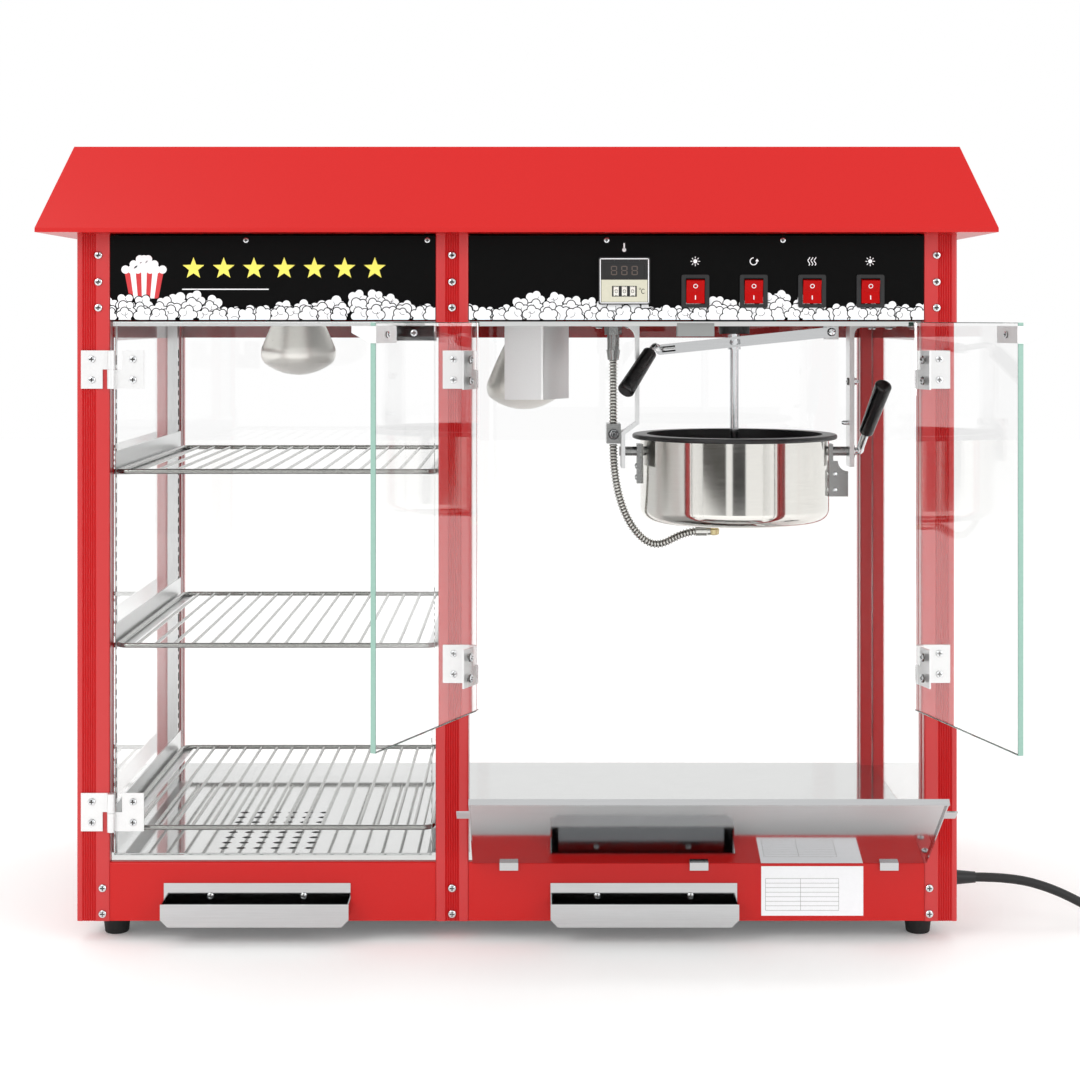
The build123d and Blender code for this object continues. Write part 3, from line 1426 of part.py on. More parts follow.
# Hinge leaves on the posts, each with the upper half of its barrel and the pin
with BuildPart() as post_hinge_leaves:
    for hinge_x, swing, hinge_levels in (
        (warmer_hinge_x, 1, warmer_hinges),
        (left_hinge_x, 1, popper_hinges),
        (right_hinge_x, -1, popper_hinges),
    ):
        for level in hinge_levels:
            barrel_half = leaf_height / 2 - hinge_clearance / 2
            barrel_z = level + hinge_clearance / 2 + barrel_half / 2
            leaf_end = hinge_radius + leaf_neck - 1
            leaf_y = hinge_y + hinge_radius - leaf_sheet / 2
            with Locations((hinge_x - swing * (leaf_end + leaf_width / 2), leaf_y, level)):
                Box(leaf_width, leaf_sheet, leaf_height)
            with Locations((hinge_x - swing * (leaf_end / 2 + 1), leaf_y, barrel_z)):
                Box(leaf_end + 2, leaf_sheet, barrel_half)
            with Locations((hinge_x, hinge_y, barrel_z)):
                Cylinder(hinge_radius, barrel_half)
            with Locations((hinge_x, hinge_y, level)):
                Cylinder(hinge_pin, leaf_height - 2)
post_hinge_leaves.part.label = "post_hinge_leaves"
export_step(post_hinge_leaves.part, "parts/post_hinge_leaves.step")

# Magnetic catches under the ceiling, one for the warmer door and a double one between the others
magnet_front = hinge_y + hinge_radius + glass + catch_sheet + magnet_gap
warmer_magnet_x = warmer_hinge_x + warmer_door_width - catch_length / 2
with BuildPart() as magnet_catches:
    for magnet_x, width in ((warmer_magnet_x, magnet_width), (popper_centre, 2 * magnet_width)):
        with BuildSketch(Plane.XY.offset(ceiling_z)) as catch_outline:
            with Locations((magnet_x, magnet_front + magnet_depth / 2)):
                Rectangle(width, magnet_depth)
            with Locations((magnet_x, ceiling_front + sheet / 2)):
                Rectangle(width, sheet, mode=Mode.SUBTRACT)
        extrude(amount=-magnet_height)
magnet_catches.part.label = "magnet_catches"
export_step(magnet_catches.part, "parts/magnet_catches.step")

# Serving flap: a stainless panel with a hemmed top, folded ends, stop tabs and hooks over the base
flap_low_x = middle_right + flap_inset
flap_high_x = right_inner + flap_inset / 4
flap_middle = (flap_low_x + flap_high_x) / 2
flap_width = flap_high_x - flap_low_x
tilt = math.radians(flap_tilt)
flap_plane = Plane(
    origin=(0, flap_axis_y, flap_axis_z),
    x_dir=(1, 0, 0),
    z_dir=(0, -math.cos(tilt), -math.sin(tilt)),
)
hook_xs = [flap_middle + i * 0.42 * flap_width for i in (-1, 0, 1)]
with BuildPart() as serving_flap:
    with BuildSketch(flap_plane) as flap_outline:
        with Locations((flap_middle, flap_length / 2)):
            Rectangle(flap_width, flap_length)
        with Locations((flap_middle, flap_tab_level)):
            Rectangle(flap_width + 2 * flap_tab, flap_tab_height)
    extrude(amount=flap_sheet)
    with BuildSketch(flap_plane) as flap_hems:
        with Locations((flap_middle, flap_length - flap_sheet / 2)):
            Rectangle(flap_width, flap_sheet)
    extrude(amount=flap_hem)
    with BuildSketch(flap_plane) as flap_ends:
        with Locations(
            (flap_low_x + flap_sheet / 2, flap_length / 2 + flap_edge),
            (flap_high_x - flap_sheet / 2, flap_length / 2 + flap_edge),
        ):
            Rectangle(flap_sheet, flap_length - 2 * flap_edge)
    extrude(amount=flap_edge)
    with BuildSketch(Plane.XZ.offset(-flap_axis_y)) as flap_hooks:
        with Locations([(x, flap_axis_z - flap_hook_drop / 2) for x in hook_xs]):
            Rectangle(flap_hook, flap_hook_drop)
    extrude(amount=flap_sheet)
serving_flap.part.label = "serving_flap"
export_step(serving_flap.part, "parts/serving_flap.step")


def drawer(drawer_x):
    """A sheet tray and the pocket pull that closes the opening in front of it."""
    pull_face = front_outer - flap_gap
    tray_back = pull_face + drawer_depth
    with BuildPart() as tray:
        with BuildSketch(Plane.XY.offset(drawer_bottom)) as tray_outline:
            with Locations((drawer_x, (pull_face + tray_back) / 2)):
                Rectangle(drawer_width, drawer_depth)
        extrude(amount=drawer_height)
        offset(amount=-drawer_wall, openings=tray.faces().sort_by(Axis.Z)[-1])
    with BuildPart() as pull:
        with BuildSketch(Plane.XZ.offset(-pull_face)) as pull_outline:
            with Locations((drawer_x, base_bottom + pull_height / 2)):
                Rectangle(pull_width, pull_height)
            chamfer(pull_outline.vertices().group_by(Axis.Y)[0], length=pull_chamfer)
        extrude(amount=pull_depth)
        with BuildSketch(Plane.XZ.offset(-pull_face + drawer_wall)) as pocket:
            with Locations((drawer_x, base_bottom + pull_height / 2 + drawer_wall)):
                Rectangle(pull_width - 2 * drawer_wall, pull_height)
            chamfer(pocket.vertices().group_by(Axis.Y)[0], length=pull_chamfer)
        extrude(amount=pull_depth - 2 * drawer_wall, mode=Mode.SUBTRACT)
        with Locations((drawer_x, pull_face - pull_depth, base_bottom + pull_height)):
            Box(
                pull_width,
                2 * (pull_depth - drawer_wall),
                2 * (pull_height - pull_lip),
                mode=Mode.SUBTRACT,
            )
    return Compound(children=[tray.part, pull.part])


water_drawer = drawer(water_drawer_x)
water_drawer.label = "water_drawer"
export_step(water_drawer, "parts/water_drawer.step")

crumb_drawer = drawer(crumb_drawer_x)
crumb_drawer.label = "crumb_drawer"
export_step(crumb_drawer, "parts/crumb_drawer.step")

# Warming element: a tube bent to a hairpin against the underside of the warmer floor
heater_tube = 4
heater_z = floor_z - sheet - heater_tube
heater_half = drawer_width / 2 - 20
with BuildPart() as warmer_heater:
    with BuildLine() as heater_line:
        FilletPolyline(
            (water_drawer_x - heater_half, drawer_depth / 2 - 40, heater_z),
            (water_drawer_x - heater_half, front_inner + 60, heater_z),
            (water_drawer_x + heater_half, front_inner + 60, heater_z),
            (water_drawer_x + heater_half, drawer_depth / 2 - 40, heater_z),
            radius=heater_half / 2,
        )
    with BuildSketch(Plane(origin=heater_line.wire() @ 0, z_dir=heater_line.wire() % 0)) as heater_section:
        Circle(heater_tube)
    sweep(path=heater_line.wire())
warmer_heater.part.label = "warmer_heater"
export_step(warmer_heater.part, "parts/warmer_heater.step")

# Cord gland in the right side of the base: a nut and a tapered strain relief
gland_y = front_face + gland_setback
gland_z = base_bottom + gland_level
gland_face = wall_x + sheet
gland_tip = gland_face + gland_nut + relief_length
with BuildPart() as cord_gland:
    with BuildSketch(Plane.YZ.offset(gland_face)) as gland_nut_section:
        with Locations((gland_y, gland_z)):
            RegularPolygon(2.4 * cord_radius, 6)
    extrude(amount=gland_nut)
    with BuildSketch(Plane.YZ.offset(gland_face + gland_nut)) as relief_foot:
        with Locations((gland_y, gland_z)):
            Circle(1.8 * cord_radius)
    with BuildSketch(Plane.YZ.offset(gland_tip)) as relief_tip:
        with Locations((gland_y, gland_z)):
            Circle(1.2 * cord_radius)
    loft()
cord_gland.part.label = "cord_gland"
export_step(cord_gland.part, "parts/cord_gland.step")

# Free stretch of the mains cord, drooping from the gland to the ground and on to the coil
coil_x = gland_tip + coil_lead
coil_y = gland_y + coil_radius
cord_points = [
    (gland_tip, gland_y, gland_z),
    (gland_tip + 36, gland_y, gland_z),
    (gland_tip + 78, gland_y - 2, gland_z - 11),
    (gland_tip + 120, gland_y - 2, gland_z - 33),
    (gland_tip + 162, gland_y, cord_radius),
    (coil_x, gland_y, cord_radius),
]
cord_bends = route_radii(cord_points)
with BuildPart() as mains_cord:
    with BuildLine() as cord_line:
        FilletPolyline(cord_points, radius=cord_bends)
    with BuildSketch(Plane(origin=cord_line.wire() @ 0, z_dir=cord_line.wire() % 0)) as cord_section:
        Circle(cord_radius)
    sweep(path=cord_line.wire())
mains_cord.part.label = "mains_cord"
export_step(mains_cord.part, "parts/mains_cord.step")
free_length = cord_line.wire().length
print("cord bends", [round(radius) for radius in cord_bends])
print("cord volume over section times length",
      round(mains_cord.part.volume / (math.pi * cord_radius**2 * free_length), 4))

# Coil of the cord's unseen length: a spiral in, a climb of one layer, and a spiral out to the plug
coil_step = 2 * cord_radius + coil_gap
coil_quarters = 2 * coil_layer_quarters + 3
plug_z = plug_radius + 0.2
plug_neck = 22
coil_tail = coil_radius + coil_step - plug_neck


def ease(share):
    """Smooth step from 0 to 1."""
    held = min(max(share, 0), 1)
    return held * held * (3 - 2 * held)


def coil_point(quarter):
    """Point of the coil after a number of quarter turns from its start on the ground."""
    inward = min(quarter, coil_layer_quarters + 1)
    outward = max(quarter - coil_layer_quarters - 1, 0)
    radius = coil_radius + (outward - inward) * coil_step / 4
    rise = (2 * cord_radius + 0.6) * ease((quarter - coil_layer_quarters) / 2)
    last = plug_z - 3 * cord_radius - 0.6
    rise += last * ease((quarter - coil_quarters + 3) / 3)
    turn = math.radians(90 * quarter - 90)
    return Vector(
        coil_x + radius * math.cos(turn), coil_y + radius * math.sin(turn), cord_radius + rise
    )


def coil_way(quarter):
    """Direction of the coil at a place, level at both of its ends."""
    step = 0.01
    way = coil_point(quarter + step) - coil_point(quarter - step)
    if quarter in (0, coil_quarters):
        turn = math.radians(90 * quarter)
        way = Vector(math.cos(turn), math.sin(turn), 0)
    return way.normalized()


def biarc_joint(start, start_way, end, end_way):
    """Where two arcs with equal tangent lengths meet between two places, and the way there."""
    chord = end - start
    ways = start_way + end_way
    spread = 2 * (1 - start_way.dot(end_way))
    along = chord.dot(ways)
    reach = (-along + math.sqrt(along * along + spread * chord.dot(chord))) / spread
    first = start + start_way * reach
    second = end - end_way * reach
    return (first + second) / 2, (second - first).normalized()


with BuildPart() as cord_coil:
    with BuildLine() as coil_line:
        for quarter in range(coil_quarters):
            start = coil_point(quarter)
            end = coil_point(quarter + 1)
            joint, joint_way = biarc_joint(start, coil_way(quarter), end, coil_way(quarter + 1))
            TangentArc(start, joint, tangent=coil_way(quarter))
            TangentArc(joint, end, tangent=joint_way)
        coil_end = coil_point(coil_quarters)
        plug_way = coil_way(coil_quarters)
        Line(coil_end, coil_end + plug_way * coil_tail)
    with BuildSketch(Plane(origin=coil_point(0), z_dir=coil_way(0))) as coil_section:
        Circle(cord_radius)
    sweep(path=coil_line.wire())
cord_coil.part.label = "cord_coil"
export_step(cord_coil.part, "parts/cord_coil.step")
coil_length = coil_line.wire().length
samples = [coil_line.wire().position_at(i / 400) for i in range(401)]
near = int(400 * 4 * coil_radius / coil_length)
self_gap = min(
    (samples[i] - samples[j]).length for i in range(401) for j in range(i + near, 401)
) - 2 * cord_radius
print("coil least gap to itself", round(self_gap, 2))
print("cord length", round(free_length + coil_length))

# Earthed plug at the end of the coil: a moulded body with a tapered neck and two round pins
plug_start = coil_end + plug_way * coil_tail
plug_plane = Plane(origin=plug_start, z_dir=plug_way)
with BuildPart() as mains_plug:
    with BuildSketch(plug_plane) as neck_foot:
        Circle(1.15 * cord_radius)
    with BuildSketch(plug_plane.offset(plug_neck)) as neck_head:
        Circle(0.5 * plug_radius)
    loft()
    with BuildSketch(plug_plane.offset(plug_neck)) as plug_body:
        Circle(plug_radius)
    extrude(amount=plug_length)
    fillet(
        mains_plug.edges().filter_by(GeomType.CIRCLE).filter_by(lambda e: e.radius > 0.9 * plug_radius),
        radius=3,
    )
    with BuildSketch(plug_plane.offset(plug_neck + plug_length)) as plug_pins:
        with GridLocations(plug_pin_pitch, 0, 2, 1):
            Circle(2.4)
    extrude(amount=plug_pin_length)
mains_plug.part.label = "mains_plug"
export_step(mains_plug.part, "parts/mains_plug.step")
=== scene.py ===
import math
import random

import bmesh
import bpy
from mathutils import Matrix, Vector


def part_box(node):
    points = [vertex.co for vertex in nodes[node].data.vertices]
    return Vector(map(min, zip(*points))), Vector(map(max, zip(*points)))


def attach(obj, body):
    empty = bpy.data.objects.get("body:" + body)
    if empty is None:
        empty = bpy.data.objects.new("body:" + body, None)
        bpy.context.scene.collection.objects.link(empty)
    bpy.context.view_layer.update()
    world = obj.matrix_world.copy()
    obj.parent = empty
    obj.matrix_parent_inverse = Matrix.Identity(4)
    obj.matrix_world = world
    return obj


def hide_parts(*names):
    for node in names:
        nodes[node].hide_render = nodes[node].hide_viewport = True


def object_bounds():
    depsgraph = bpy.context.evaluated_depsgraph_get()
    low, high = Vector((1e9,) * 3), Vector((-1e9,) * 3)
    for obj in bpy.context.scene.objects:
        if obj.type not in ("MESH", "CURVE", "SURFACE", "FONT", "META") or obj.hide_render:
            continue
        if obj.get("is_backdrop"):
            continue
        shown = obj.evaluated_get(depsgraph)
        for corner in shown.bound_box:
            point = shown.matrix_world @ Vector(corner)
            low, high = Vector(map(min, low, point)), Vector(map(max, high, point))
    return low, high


# %% [markdown]
# # A popcorn maker with a warming cabinet
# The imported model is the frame. This notebook dresses it: materials for every solid, then the
# fasteners, prints, hoses and the cord that are too fine or too soft for solids.
# Lengths below are written in millimetres and multiplied by MM.

# %% Load the frame
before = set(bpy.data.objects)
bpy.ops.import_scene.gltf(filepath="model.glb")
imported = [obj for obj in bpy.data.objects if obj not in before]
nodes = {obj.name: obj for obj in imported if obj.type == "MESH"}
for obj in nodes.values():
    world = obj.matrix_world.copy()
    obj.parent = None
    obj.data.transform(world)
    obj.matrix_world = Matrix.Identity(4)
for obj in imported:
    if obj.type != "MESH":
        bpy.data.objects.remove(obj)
cad_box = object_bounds()
MM = 0.001
post_low, post_high = (Vector(corner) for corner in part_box("posts"))
print("nodes loaded:", len(nodes))

# %% [markdown]
# ## Camera, floor and light
# The posts stay upright in the picture, so the camera looks level and its frame is shifted down.
# One pixel is 0.97 mm on the plane of the front posts.

# %% Camera
PHOTO_PIXELS = 1080
PIXEL = 0.97 * MM
HORIZON_PIXEL = 318
CAMERA_DISTANCE = 2000 * MM
CAMERA_SIDE = 22.3 * MM
EYE_HEIGHT = 605 * MM

lens = bpy.data.cameras.new("camera")
lens.sensor_width = 36
lens.lens = lens.sensor_width * CAMERA_DISTANCE / (PHOTO_PIXELS * PIXEL)
lens.shift_y = (HORIZON_PIXEL - PHOTO_PIXELS / 2) / PHOTO_PIXELS
camera = bpy.data.objects.new("camera", lens)
camera.location = (CAMERA_SIDE, post_low.y - CAMERA_DISTANCE, EYE_HEIGHT)
camera.rotation_euler = (math.radians(90), 0, 0)
scene = bpy.context.scene
scene.collection.objects.link(camera)
scene.camera = camera
scene.view_settings.view_transform = "Standard"
print("lens", round(lens.lens, 1), "shift", round(lens.shift_y, 3))


# %% [markdown]
# ## Material kit
# Each material is one shader with one grain: a noise whose size is given in millimetres tints
# the colour, spreads the roughness and lifts the surface a little.

# %% Material kit
def colour(hex_code):
    """Shader colour from an sRGB hex code."""
    shares = [int(hex_code[i:i + 2], 16) / 255 for i in (1, 3, 5)]
    return [s / 12.92 if s <= 0.04045 else ((s + 0.055) / 1.055) ** 2.4 for s in shares] + [1]


def add_node(material, kind, inputs=None, **settings):
    """Add a shader node with its input values and settings."""
    made = material.node_tree.nodes.new("ShaderNode" + kind)
    for name, value in (inputs or {}).items():
        made.inputs[name].default_value = value
    for name, value in settings.items():
        setattr(made, name, value)
    return made


def link(material, source, socket, target, into):
    """Join an output to an input."""
    material.node_tree.links.new(source.outputs[socket], target.inputs[into])


def shader_of(material):
    return material.node_tree.nodes["Principled BSDF"]


def surface(name, hex_code, rough, metal=0, grain=1, stretch=(1, 1, 1), tone=0.1, wear=0.04,
            bump=0.01, **sockets):
    """A material with one grain, sized in millimetres and longer along the stretched axes."""
    material = bpy.data.materials.new(name)
    material.use_nodes = True
    shader = shader_of(material)
    shader.inputs["Metallic"].default_value = metal
    for socket, value in sockets.items():
        label = socket.replace("_", " ").title().replace("Ior", "IOR")
        shader.inputs[label].default_value = value
    place = add_node(material, "TexCoord")
    sizes = [1 / (grain * MM * s) for s in stretch]
    scale = add_node(material, "Mapping", {"Scale": sizes})
    noise = add_node(material, "TexNoise", {"Scale": 1, "Detail": 4, "Roughness": 0.6})
    tint = add_node(material, "ValToRGB")
    tint.color_ramp.elements[0].position = 0.3
    tint.color_ramp.elements[1].position = 0.7
    base = colour(hex_code)
    tint.color_ramp.elements[0].color = [c * (1 - tone) for c in base[:3]] + [1]
    tint.color_ramp.elements[1].color = base
    spread = add_node(material, "MapRange", {"To Min": max(rough - wear, 0), "To Max": rough + wear})
    lift = add_node(material, "Bump", {"Distance": bump * MM, "Strength": 0.6})
    link(material, place, "Object", scale, "Vector")
    link(material, scale, "Vector", noise, "Vector")
    link(material, noise, "Fac", tint, "Fac")
    link(material, tint, "Color", shader, "Base Color")
    link(material, noise, "Fac", spread, "Value")
    link(material, spread, "Result", shader, "Roughness")
    link(material, noise, "Fac", lift, "Height")
    link(material, lift, "Normal", shader, "Normal")
    return material


# %% Floor and lights
floor_paint = surface("floor_paper", "#f8f8f7", 0.8, grain=40, tone=0.01, bump=0, specular_ior_level=0.1,
                      emission_color=colour("#ffffff"), emission_strength=0.11)
dark_cloth = surface("dark_cloth", "#060505", 0.9, grain=2, tone=0.3, bump=0.1, specular_ior_level=0.1)
grey_cloth = surface("grey_cloth", "#2c2822", 0.9, grain=2, tone=0.2, bump=0.1, specular_ior_level=0.1)


def stage_sheet(name, corners, material):
    """A flat sheet of the studio, not part of the machine."""
    mesh = bpy.data.meshes.new(name)
    mesh.from_pydata(corners, [], [(0, 1, 2, 3)])
    sheet = bpy.data.objects.new(name, mesh)
    sheet.data.materials.append(material)
    scene.collection.objects.link(sheet)
    sheet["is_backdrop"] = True
    return sheet


FLOOR_HALF = 8
FLOOR_CORNERS = ((-1, -1), (1, -1), (1, 1), (-1, 1))
stage_sheet("floor", [(x * FLOOR_HALF, y * FLOOR_HALF, 0) for x, y in FLOOR_CORNERS], floor_paint)

# Low dark cards in front and to the right, in metres; they show only in reflections
CARDS = (
    ("grey_card", (-3.6, -4), (-0.84, -4), 0.32, grey_cloth),
    ("dark_card", (-0.29, -4), (0.79, -4), 0.32, dark_cloth),
    ("right_card", (3.2, 0.4), (3.2, 3.2), 0.6, grey_cloth),
)
for name, start, end, height, cloth in CARDS:
    card = stage_sheet(name, [(*start, 0), (*end, 0), (*end, height), (*start, height)], cloth)
    card.visible_camera = card.visible_transmission = card.visible_diffuse = card.visible_shadow = False

world = bpy.data.worlds.new("studio")
world.use_nodes = True
world.node_tree.nodes["Background"].inputs["Color"].default_value = colour("#ffffff")
world.node_tree.nodes["Background"].inputs["Strength"].default_value = 1.0
scene.world = world


def softbox(name, place, target, width, height, power):
    """A rectangular lamp that faces a target."""
    light = bpy.data.lights.new(name, "AREA")
    light.shape = "RECTANGLE"
    light.size = width
    light.size_y = height
    light.energy = power
    lamp = bpy.data.objects.new(name, light)
    lamp.location = place
    lamp.rotation_euler = (Vector(target) - Vector(place)).to_track_quat("-Z", "Y").to_euler()
    scene.collection.objects.link(lamp)


middle = (0, 0, 0.4)
softbox("key_light", (-1.6, -2.4, 1.9), middle, 1.4, 1.4, 22)
softbox("fill_light", (2.0, -2.2, 1.2), middle, 1.0, 1.6, 12)
softbox("top_light", (0, 0.3, 2.6), middle, 2.2, 1.6, 14)

# %% [markdown]
# ## Materials
# Powder-coated red sheet, polished stainless, chrome, dark plastics, rubber, ceramic and glass.

# %% Metals and paints
red_paint = surface("red_powder_coat", "#c41210", 0.34, grain=0.9, tone=0.06, wear=0.05, bump=0.02,
                    specular_ior_level=0.3, coat_weight=0.08, coat_roughness=0.2)
post_paint = surface("red_post_coat", "#c21417", 0.34, grain=0.7, tone=0.05, wear=0.05, bump=0.01,
                     specular_ior_level=0.6, coat_weight=0.3, coat_roughness=0.25)
panel_black = surface("black_panel_film", "#070707", 0.3, grain=6, tone=0.2, wear=0.05, bump=0.004,
                      specular_ior_level=0.07)
sheet_steel = surface("stainless_sheet", "#d8d9d8", 0.07, 1, grain=0.6, stretch=(40, 1, 1), tone=0.12,
                      wear=0.06, bump=0.002)
upright_steel = surface("stainless_upright", "#e9eaea", 0.3, 1, grain=0.5, stretch=(1, 1, 40),
                        tone=0.14, wear=0.06, bump=0.002)
mirror_steel = surface("mirror_stainless", "#c7c8c9", 0.07, 1, grain=0.8, stretch=(50, 1, 1), tone=0.06,
                       wear=0.03, bump=0.0008)
pull_steel = surface("pull_stainless", "#cbcccd", 0.08, 1, grain=0.8, stretch=(50, 1, 1), tone=0.08,
                     wear=0.05, bump=0.001)
pot_steel = surface("spun_stainless", "#e6e4df", 0.09, 1, grain=0.5, stretch=(60, 60, 1), tone=0.08,
                    wear=0.03, bump=0.001)
chrome = surface("bright_chrome", "#dcdee0", 0.08, 1, grain=3, tone=0.05, wear=0.03, bump=0.0015)
shelf_wire = surface("shelf_wire", "#9a9b97", 0.12, 1, grain=3, tone=0.08, wear=0.04, bump=0.0015)
bright_zinc = surface("bright_zinc", "#ececec", 0.36, 0.8, grain=1.2, tone=0.05, wear=0.06, bump=0.003)
dull_zinc = surface("dull_zinc", "#a0a1a0", 0.25, 1, grain=1.5, tone=0.2, wear=0.08, bump=0.004)
galvanised = surface("galvanised_pan", "#55575a", 0.45, 0.8, grain=5, tone=0.25, wear=0.1, bump=0.006)
zinc = surface("zinc_plate", "#e2e2de", 0.2, 1, grain=1.5, tone=0.12, wear=0.06, bump=0.003)
brass = surface("nickel_brass", "#cbbd92", 0.25, 1, grain=1, tone=0.12, wear=0.06, bump=0.003)
# Heated steel for the element and the heater; the same dark material is the painted shade on screw
# recesses and feet and in the hose grooves
hot_steel_and_shade = surface("heated_steel_and_painted_shade", "#6f6c69", 0.4, 1, grain=4, tone=0.3, wear=0.1, bump=0.006)
casting = surface("grey_casting", "#6a6d70", 0.6, 0.4, grain=1.2, tone=0.25, wear=0.1, bump=0.08)
liner_coat = surface("nonstick_coat", "#1b1b1c", 0.34, grain=0.8, tone=0.2, wear=0.06, bump=0.006)

# %% Plastics, rubber, ceramic and inks
black_plastic = surface("black_moulding", "#141416", 0.38, grain=0.5, tone=0.2, wear=0.08, bump=0.02)
grip_plastic = surface("grip_moulding", "#101011", 0.2, grain=0.4, tone=0.2, wear=0.08, bump=0.015)
grey_plastic = surface("grey_moulding", "#8d8f8e", 0.45, grain=0.6, tone=0.1, wear=0.06, bump=0.02)
white_plastic = surface("white_moulding", "#e6e4dc", 0.42, grain=0.6, tone=0.04, wear=0.05, bump=0.01)
red_lens = surface("red_rocker", "#b40606", 0.25, grain=2, tone=0.12, wear=0.05, bump=0.004,
                   specular_ior_level=0.1)
rubber = surface("black_rubber", "#121212", 0.68, grain=0.6, tone=0.3, wear=0.1, bump=0.05)
cord_sheath = surface("cord_sheath", "#0f0f10", 0.5, grain=0.8, tone=0.25, wear=0.08, bump=0.03)
ceramic = surface("white_ceramic", "#e8e5de", 0.25, grain=2, tone=0.05, wear=0.05, bump=0.006)
white_ink = surface("white_ink", "#f3f4f6", 0.5, grain=3, tone=0.03, wear=0.05, bump=0.002)
# Black ink of the prints and outlines; with no specular it is also the painted shade of the shelf slots
# and the floor holes
black_ink_and_shade = surface("black_ink_and_shade", "#0b0b0c", 0.45, grain=3, tone=0.1, wear=0.05, bump=0.002,
                    specular_ior_level=0)
yellow_ink = surface("yellow_ink", "#f2ea63", 0.5, grain=3, tone=0.04, wear=0.05, bump=0.002)
red_ink = surface("red_ink", "#c92a30", 0.5, grain=3, tone=0.05, wear=0.05, bump=0.002)
grey_ink = surface("grey_ink", "#8a8a86", 0.5, grain=3, tone=0.1, wear=0.05, bump=0.002)
display_ink = surface("unlit_segments", "#5a4d46", 0.4, grain=2, tone=0.15, wear=0.05, bump=0.002)
pane_edge = surface("ground_glass_edge", "#93b8ab", 0.35, grain=2, tone=0.1, wear=0.06, bump=0.004)
beige_face = surface("beige_face", "#cfcdb9", 0.5, grain=2, tone=0.06, wear=0.05, bump=0.004)

# %% Glass
GLASS_INDEX = 1.4
EDGE_GREEN = "#a9cfc0"


def pane_glass(name, facing):
    """Clear glass, greenish where a face looks along the pane and not out of it."""
    material = surface(name, "#ffffff", 0.008, grain=60, tone=0.004, wear=0.006, bump=0,
                       transmission_weight=1)
    shader = shader_of(material)
    shader.inputs["IOR"].default_value = GLASS_INDEX
    way = add_node(material, "TexCoord")
    turn = add_node(material, "VectorMath", operation="DOT_PRODUCT")
    turn.inputs[1].default_value = facing
    size = add_node(material, "Math", operation="ABSOLUTE")
    edge = add_node(material, "ValToRGB")
    edge.color_ramp.elements[0].position = 0.6
    edge.color_ramp.elements[0].color = colour(EDGE_GREEN)
    edge.color_ramp.elements[1].position = 0.7
    edge.color_ramp.elements[1].color = colour("#ffffff")
    link(material, way, "Normal", turn, 0)
    link(material, turn, "Value", size, 0)
    link(material, size, "Value", edge, "Fac")
    link(material, edge, "Color", shader, "Base Color")
    return material


def door_facing(angle, swing):
    """Outward direction of a door that is opened by an angle."""
    turn = math.radians(angle)
    return (swing * math.sin(turn), math.cos(turn), 0)


LEFT_ANGLE, RIGHT_ANGLE = 113, 104
glass = pane_glass("clear_glass", (0.707, 0.707, 0))
warmer_glass = pane_glass("warmer_glass", (0, 1, 0))
left_glass = pane_glass("left_glass", door_facing(LEFT_ANGLE, 1))
right_glass = pane_glass("right_glass", door_facing(RIGHT_ANGLE, -1))


def lamp_glass():
    """Frosted where the lamp faces down, silvered on its flanks."""
    material = surface("lamp_glass", "#f6f4ee", 0.3, grain=4, tone=0.04, wear=0.06, bump=0.004,
                       emission_color=colour("#fffdf6"), emission_strength=0.07)
    shader = shader_of(material)
    way = add_node(material, "NewGeometry")
    parts = add_node(material, "SeparateXYZ")
    flank = add_node(material, "MapRange", {"From Min": -0.55, "From Max": -0.2, "To Max": 0.7})
    link(material, way, "Normal", parts, "Vector")
    link(material, parts, "Z", flank, "Value")
    link(material, flank, "Result", shader, "Metallic")
    return material


bulb = lamp_glass()
print("materials:", len(bpy.data.materials))

# %% Materials on the solids
LOOKS = {
    red_paint: ["wall_panels", "base_front_panels", "roof_shell"],
    post_paint: ["posts"],
    panel_black: ["header_panels"],
    sheet_steel: ["ceiling_plate", "popper_floor", "warmer_floor"],
    galvanised: ["base_pan"],
    upright_steel: ["partition_panel", "shelf_supports", "ceiling_brackets", "detent_spring"],
    bright_zinc: ["post_hinge_leaves", "warmer_door_fittings", "left_door_fittings", "right_door_fittings",
                  "lamp_shield"],
    dull_zinc: ["kettle_brackets", "conduit_fittings"],
    mirror_steel: ["serving_flap", "lift_lever"],
    pull_steel: ["water_drawer", "crumb_drawer"],
    pot_steel: ["kettle_pot"],
    shelf_wire: ["wire_shelves"],
    chrome: ["kettle_handle", "lift_collar", "stirrer", "drive_shaft"],
    zinc: ["upper_conduit", "lower_conduit"],
    hot_steel_and_shade: ["kettle_element", "warmer_heater"],
    casting: ["stir_motor"],
    liner_coat: ["kettle_liner"],
    black_plastic: ["shaft_bearing", "controller_housing", "switch_housings", "cord_gland", "mains_plug"],
    grip_plastic: ["kettle_grip", "lever_grip"],
    grey_plastic: ["magnet_catches"],
    white_plastic: ["hundreds_wheel", "tens_wheel", "units_wheel"],
    red_lens: ["rocker_1", "rocker_2", "rocker_3", "rocker_4"],
    rubber: ["rubber_feet"],
    cord_sheath: ["mains_cord", "cord_coil"],
    ceramic: ["lamp_holders"],
    bulb: ["reflector_lamps"],
    glass: ["fixed_glass"],
    warmer_glass: ["warmer_door_glass"],
    left_glass: ["left_door_glass"],
    right_glass: ["right_door_glass"],
}
for material, names in LOOKS.items():
    for name in names:
        slots = nodes[name].data.materials
        slots.clear()
        slots.append(material)
print("dressed:", sum(len(names) for names in LOOKS.values()), "of", len(nodes))

# %% [markdown]
# ## Tools for the small pieces
# A piece is gathered in a mesh builder, turned into an object and set to ride on its body.

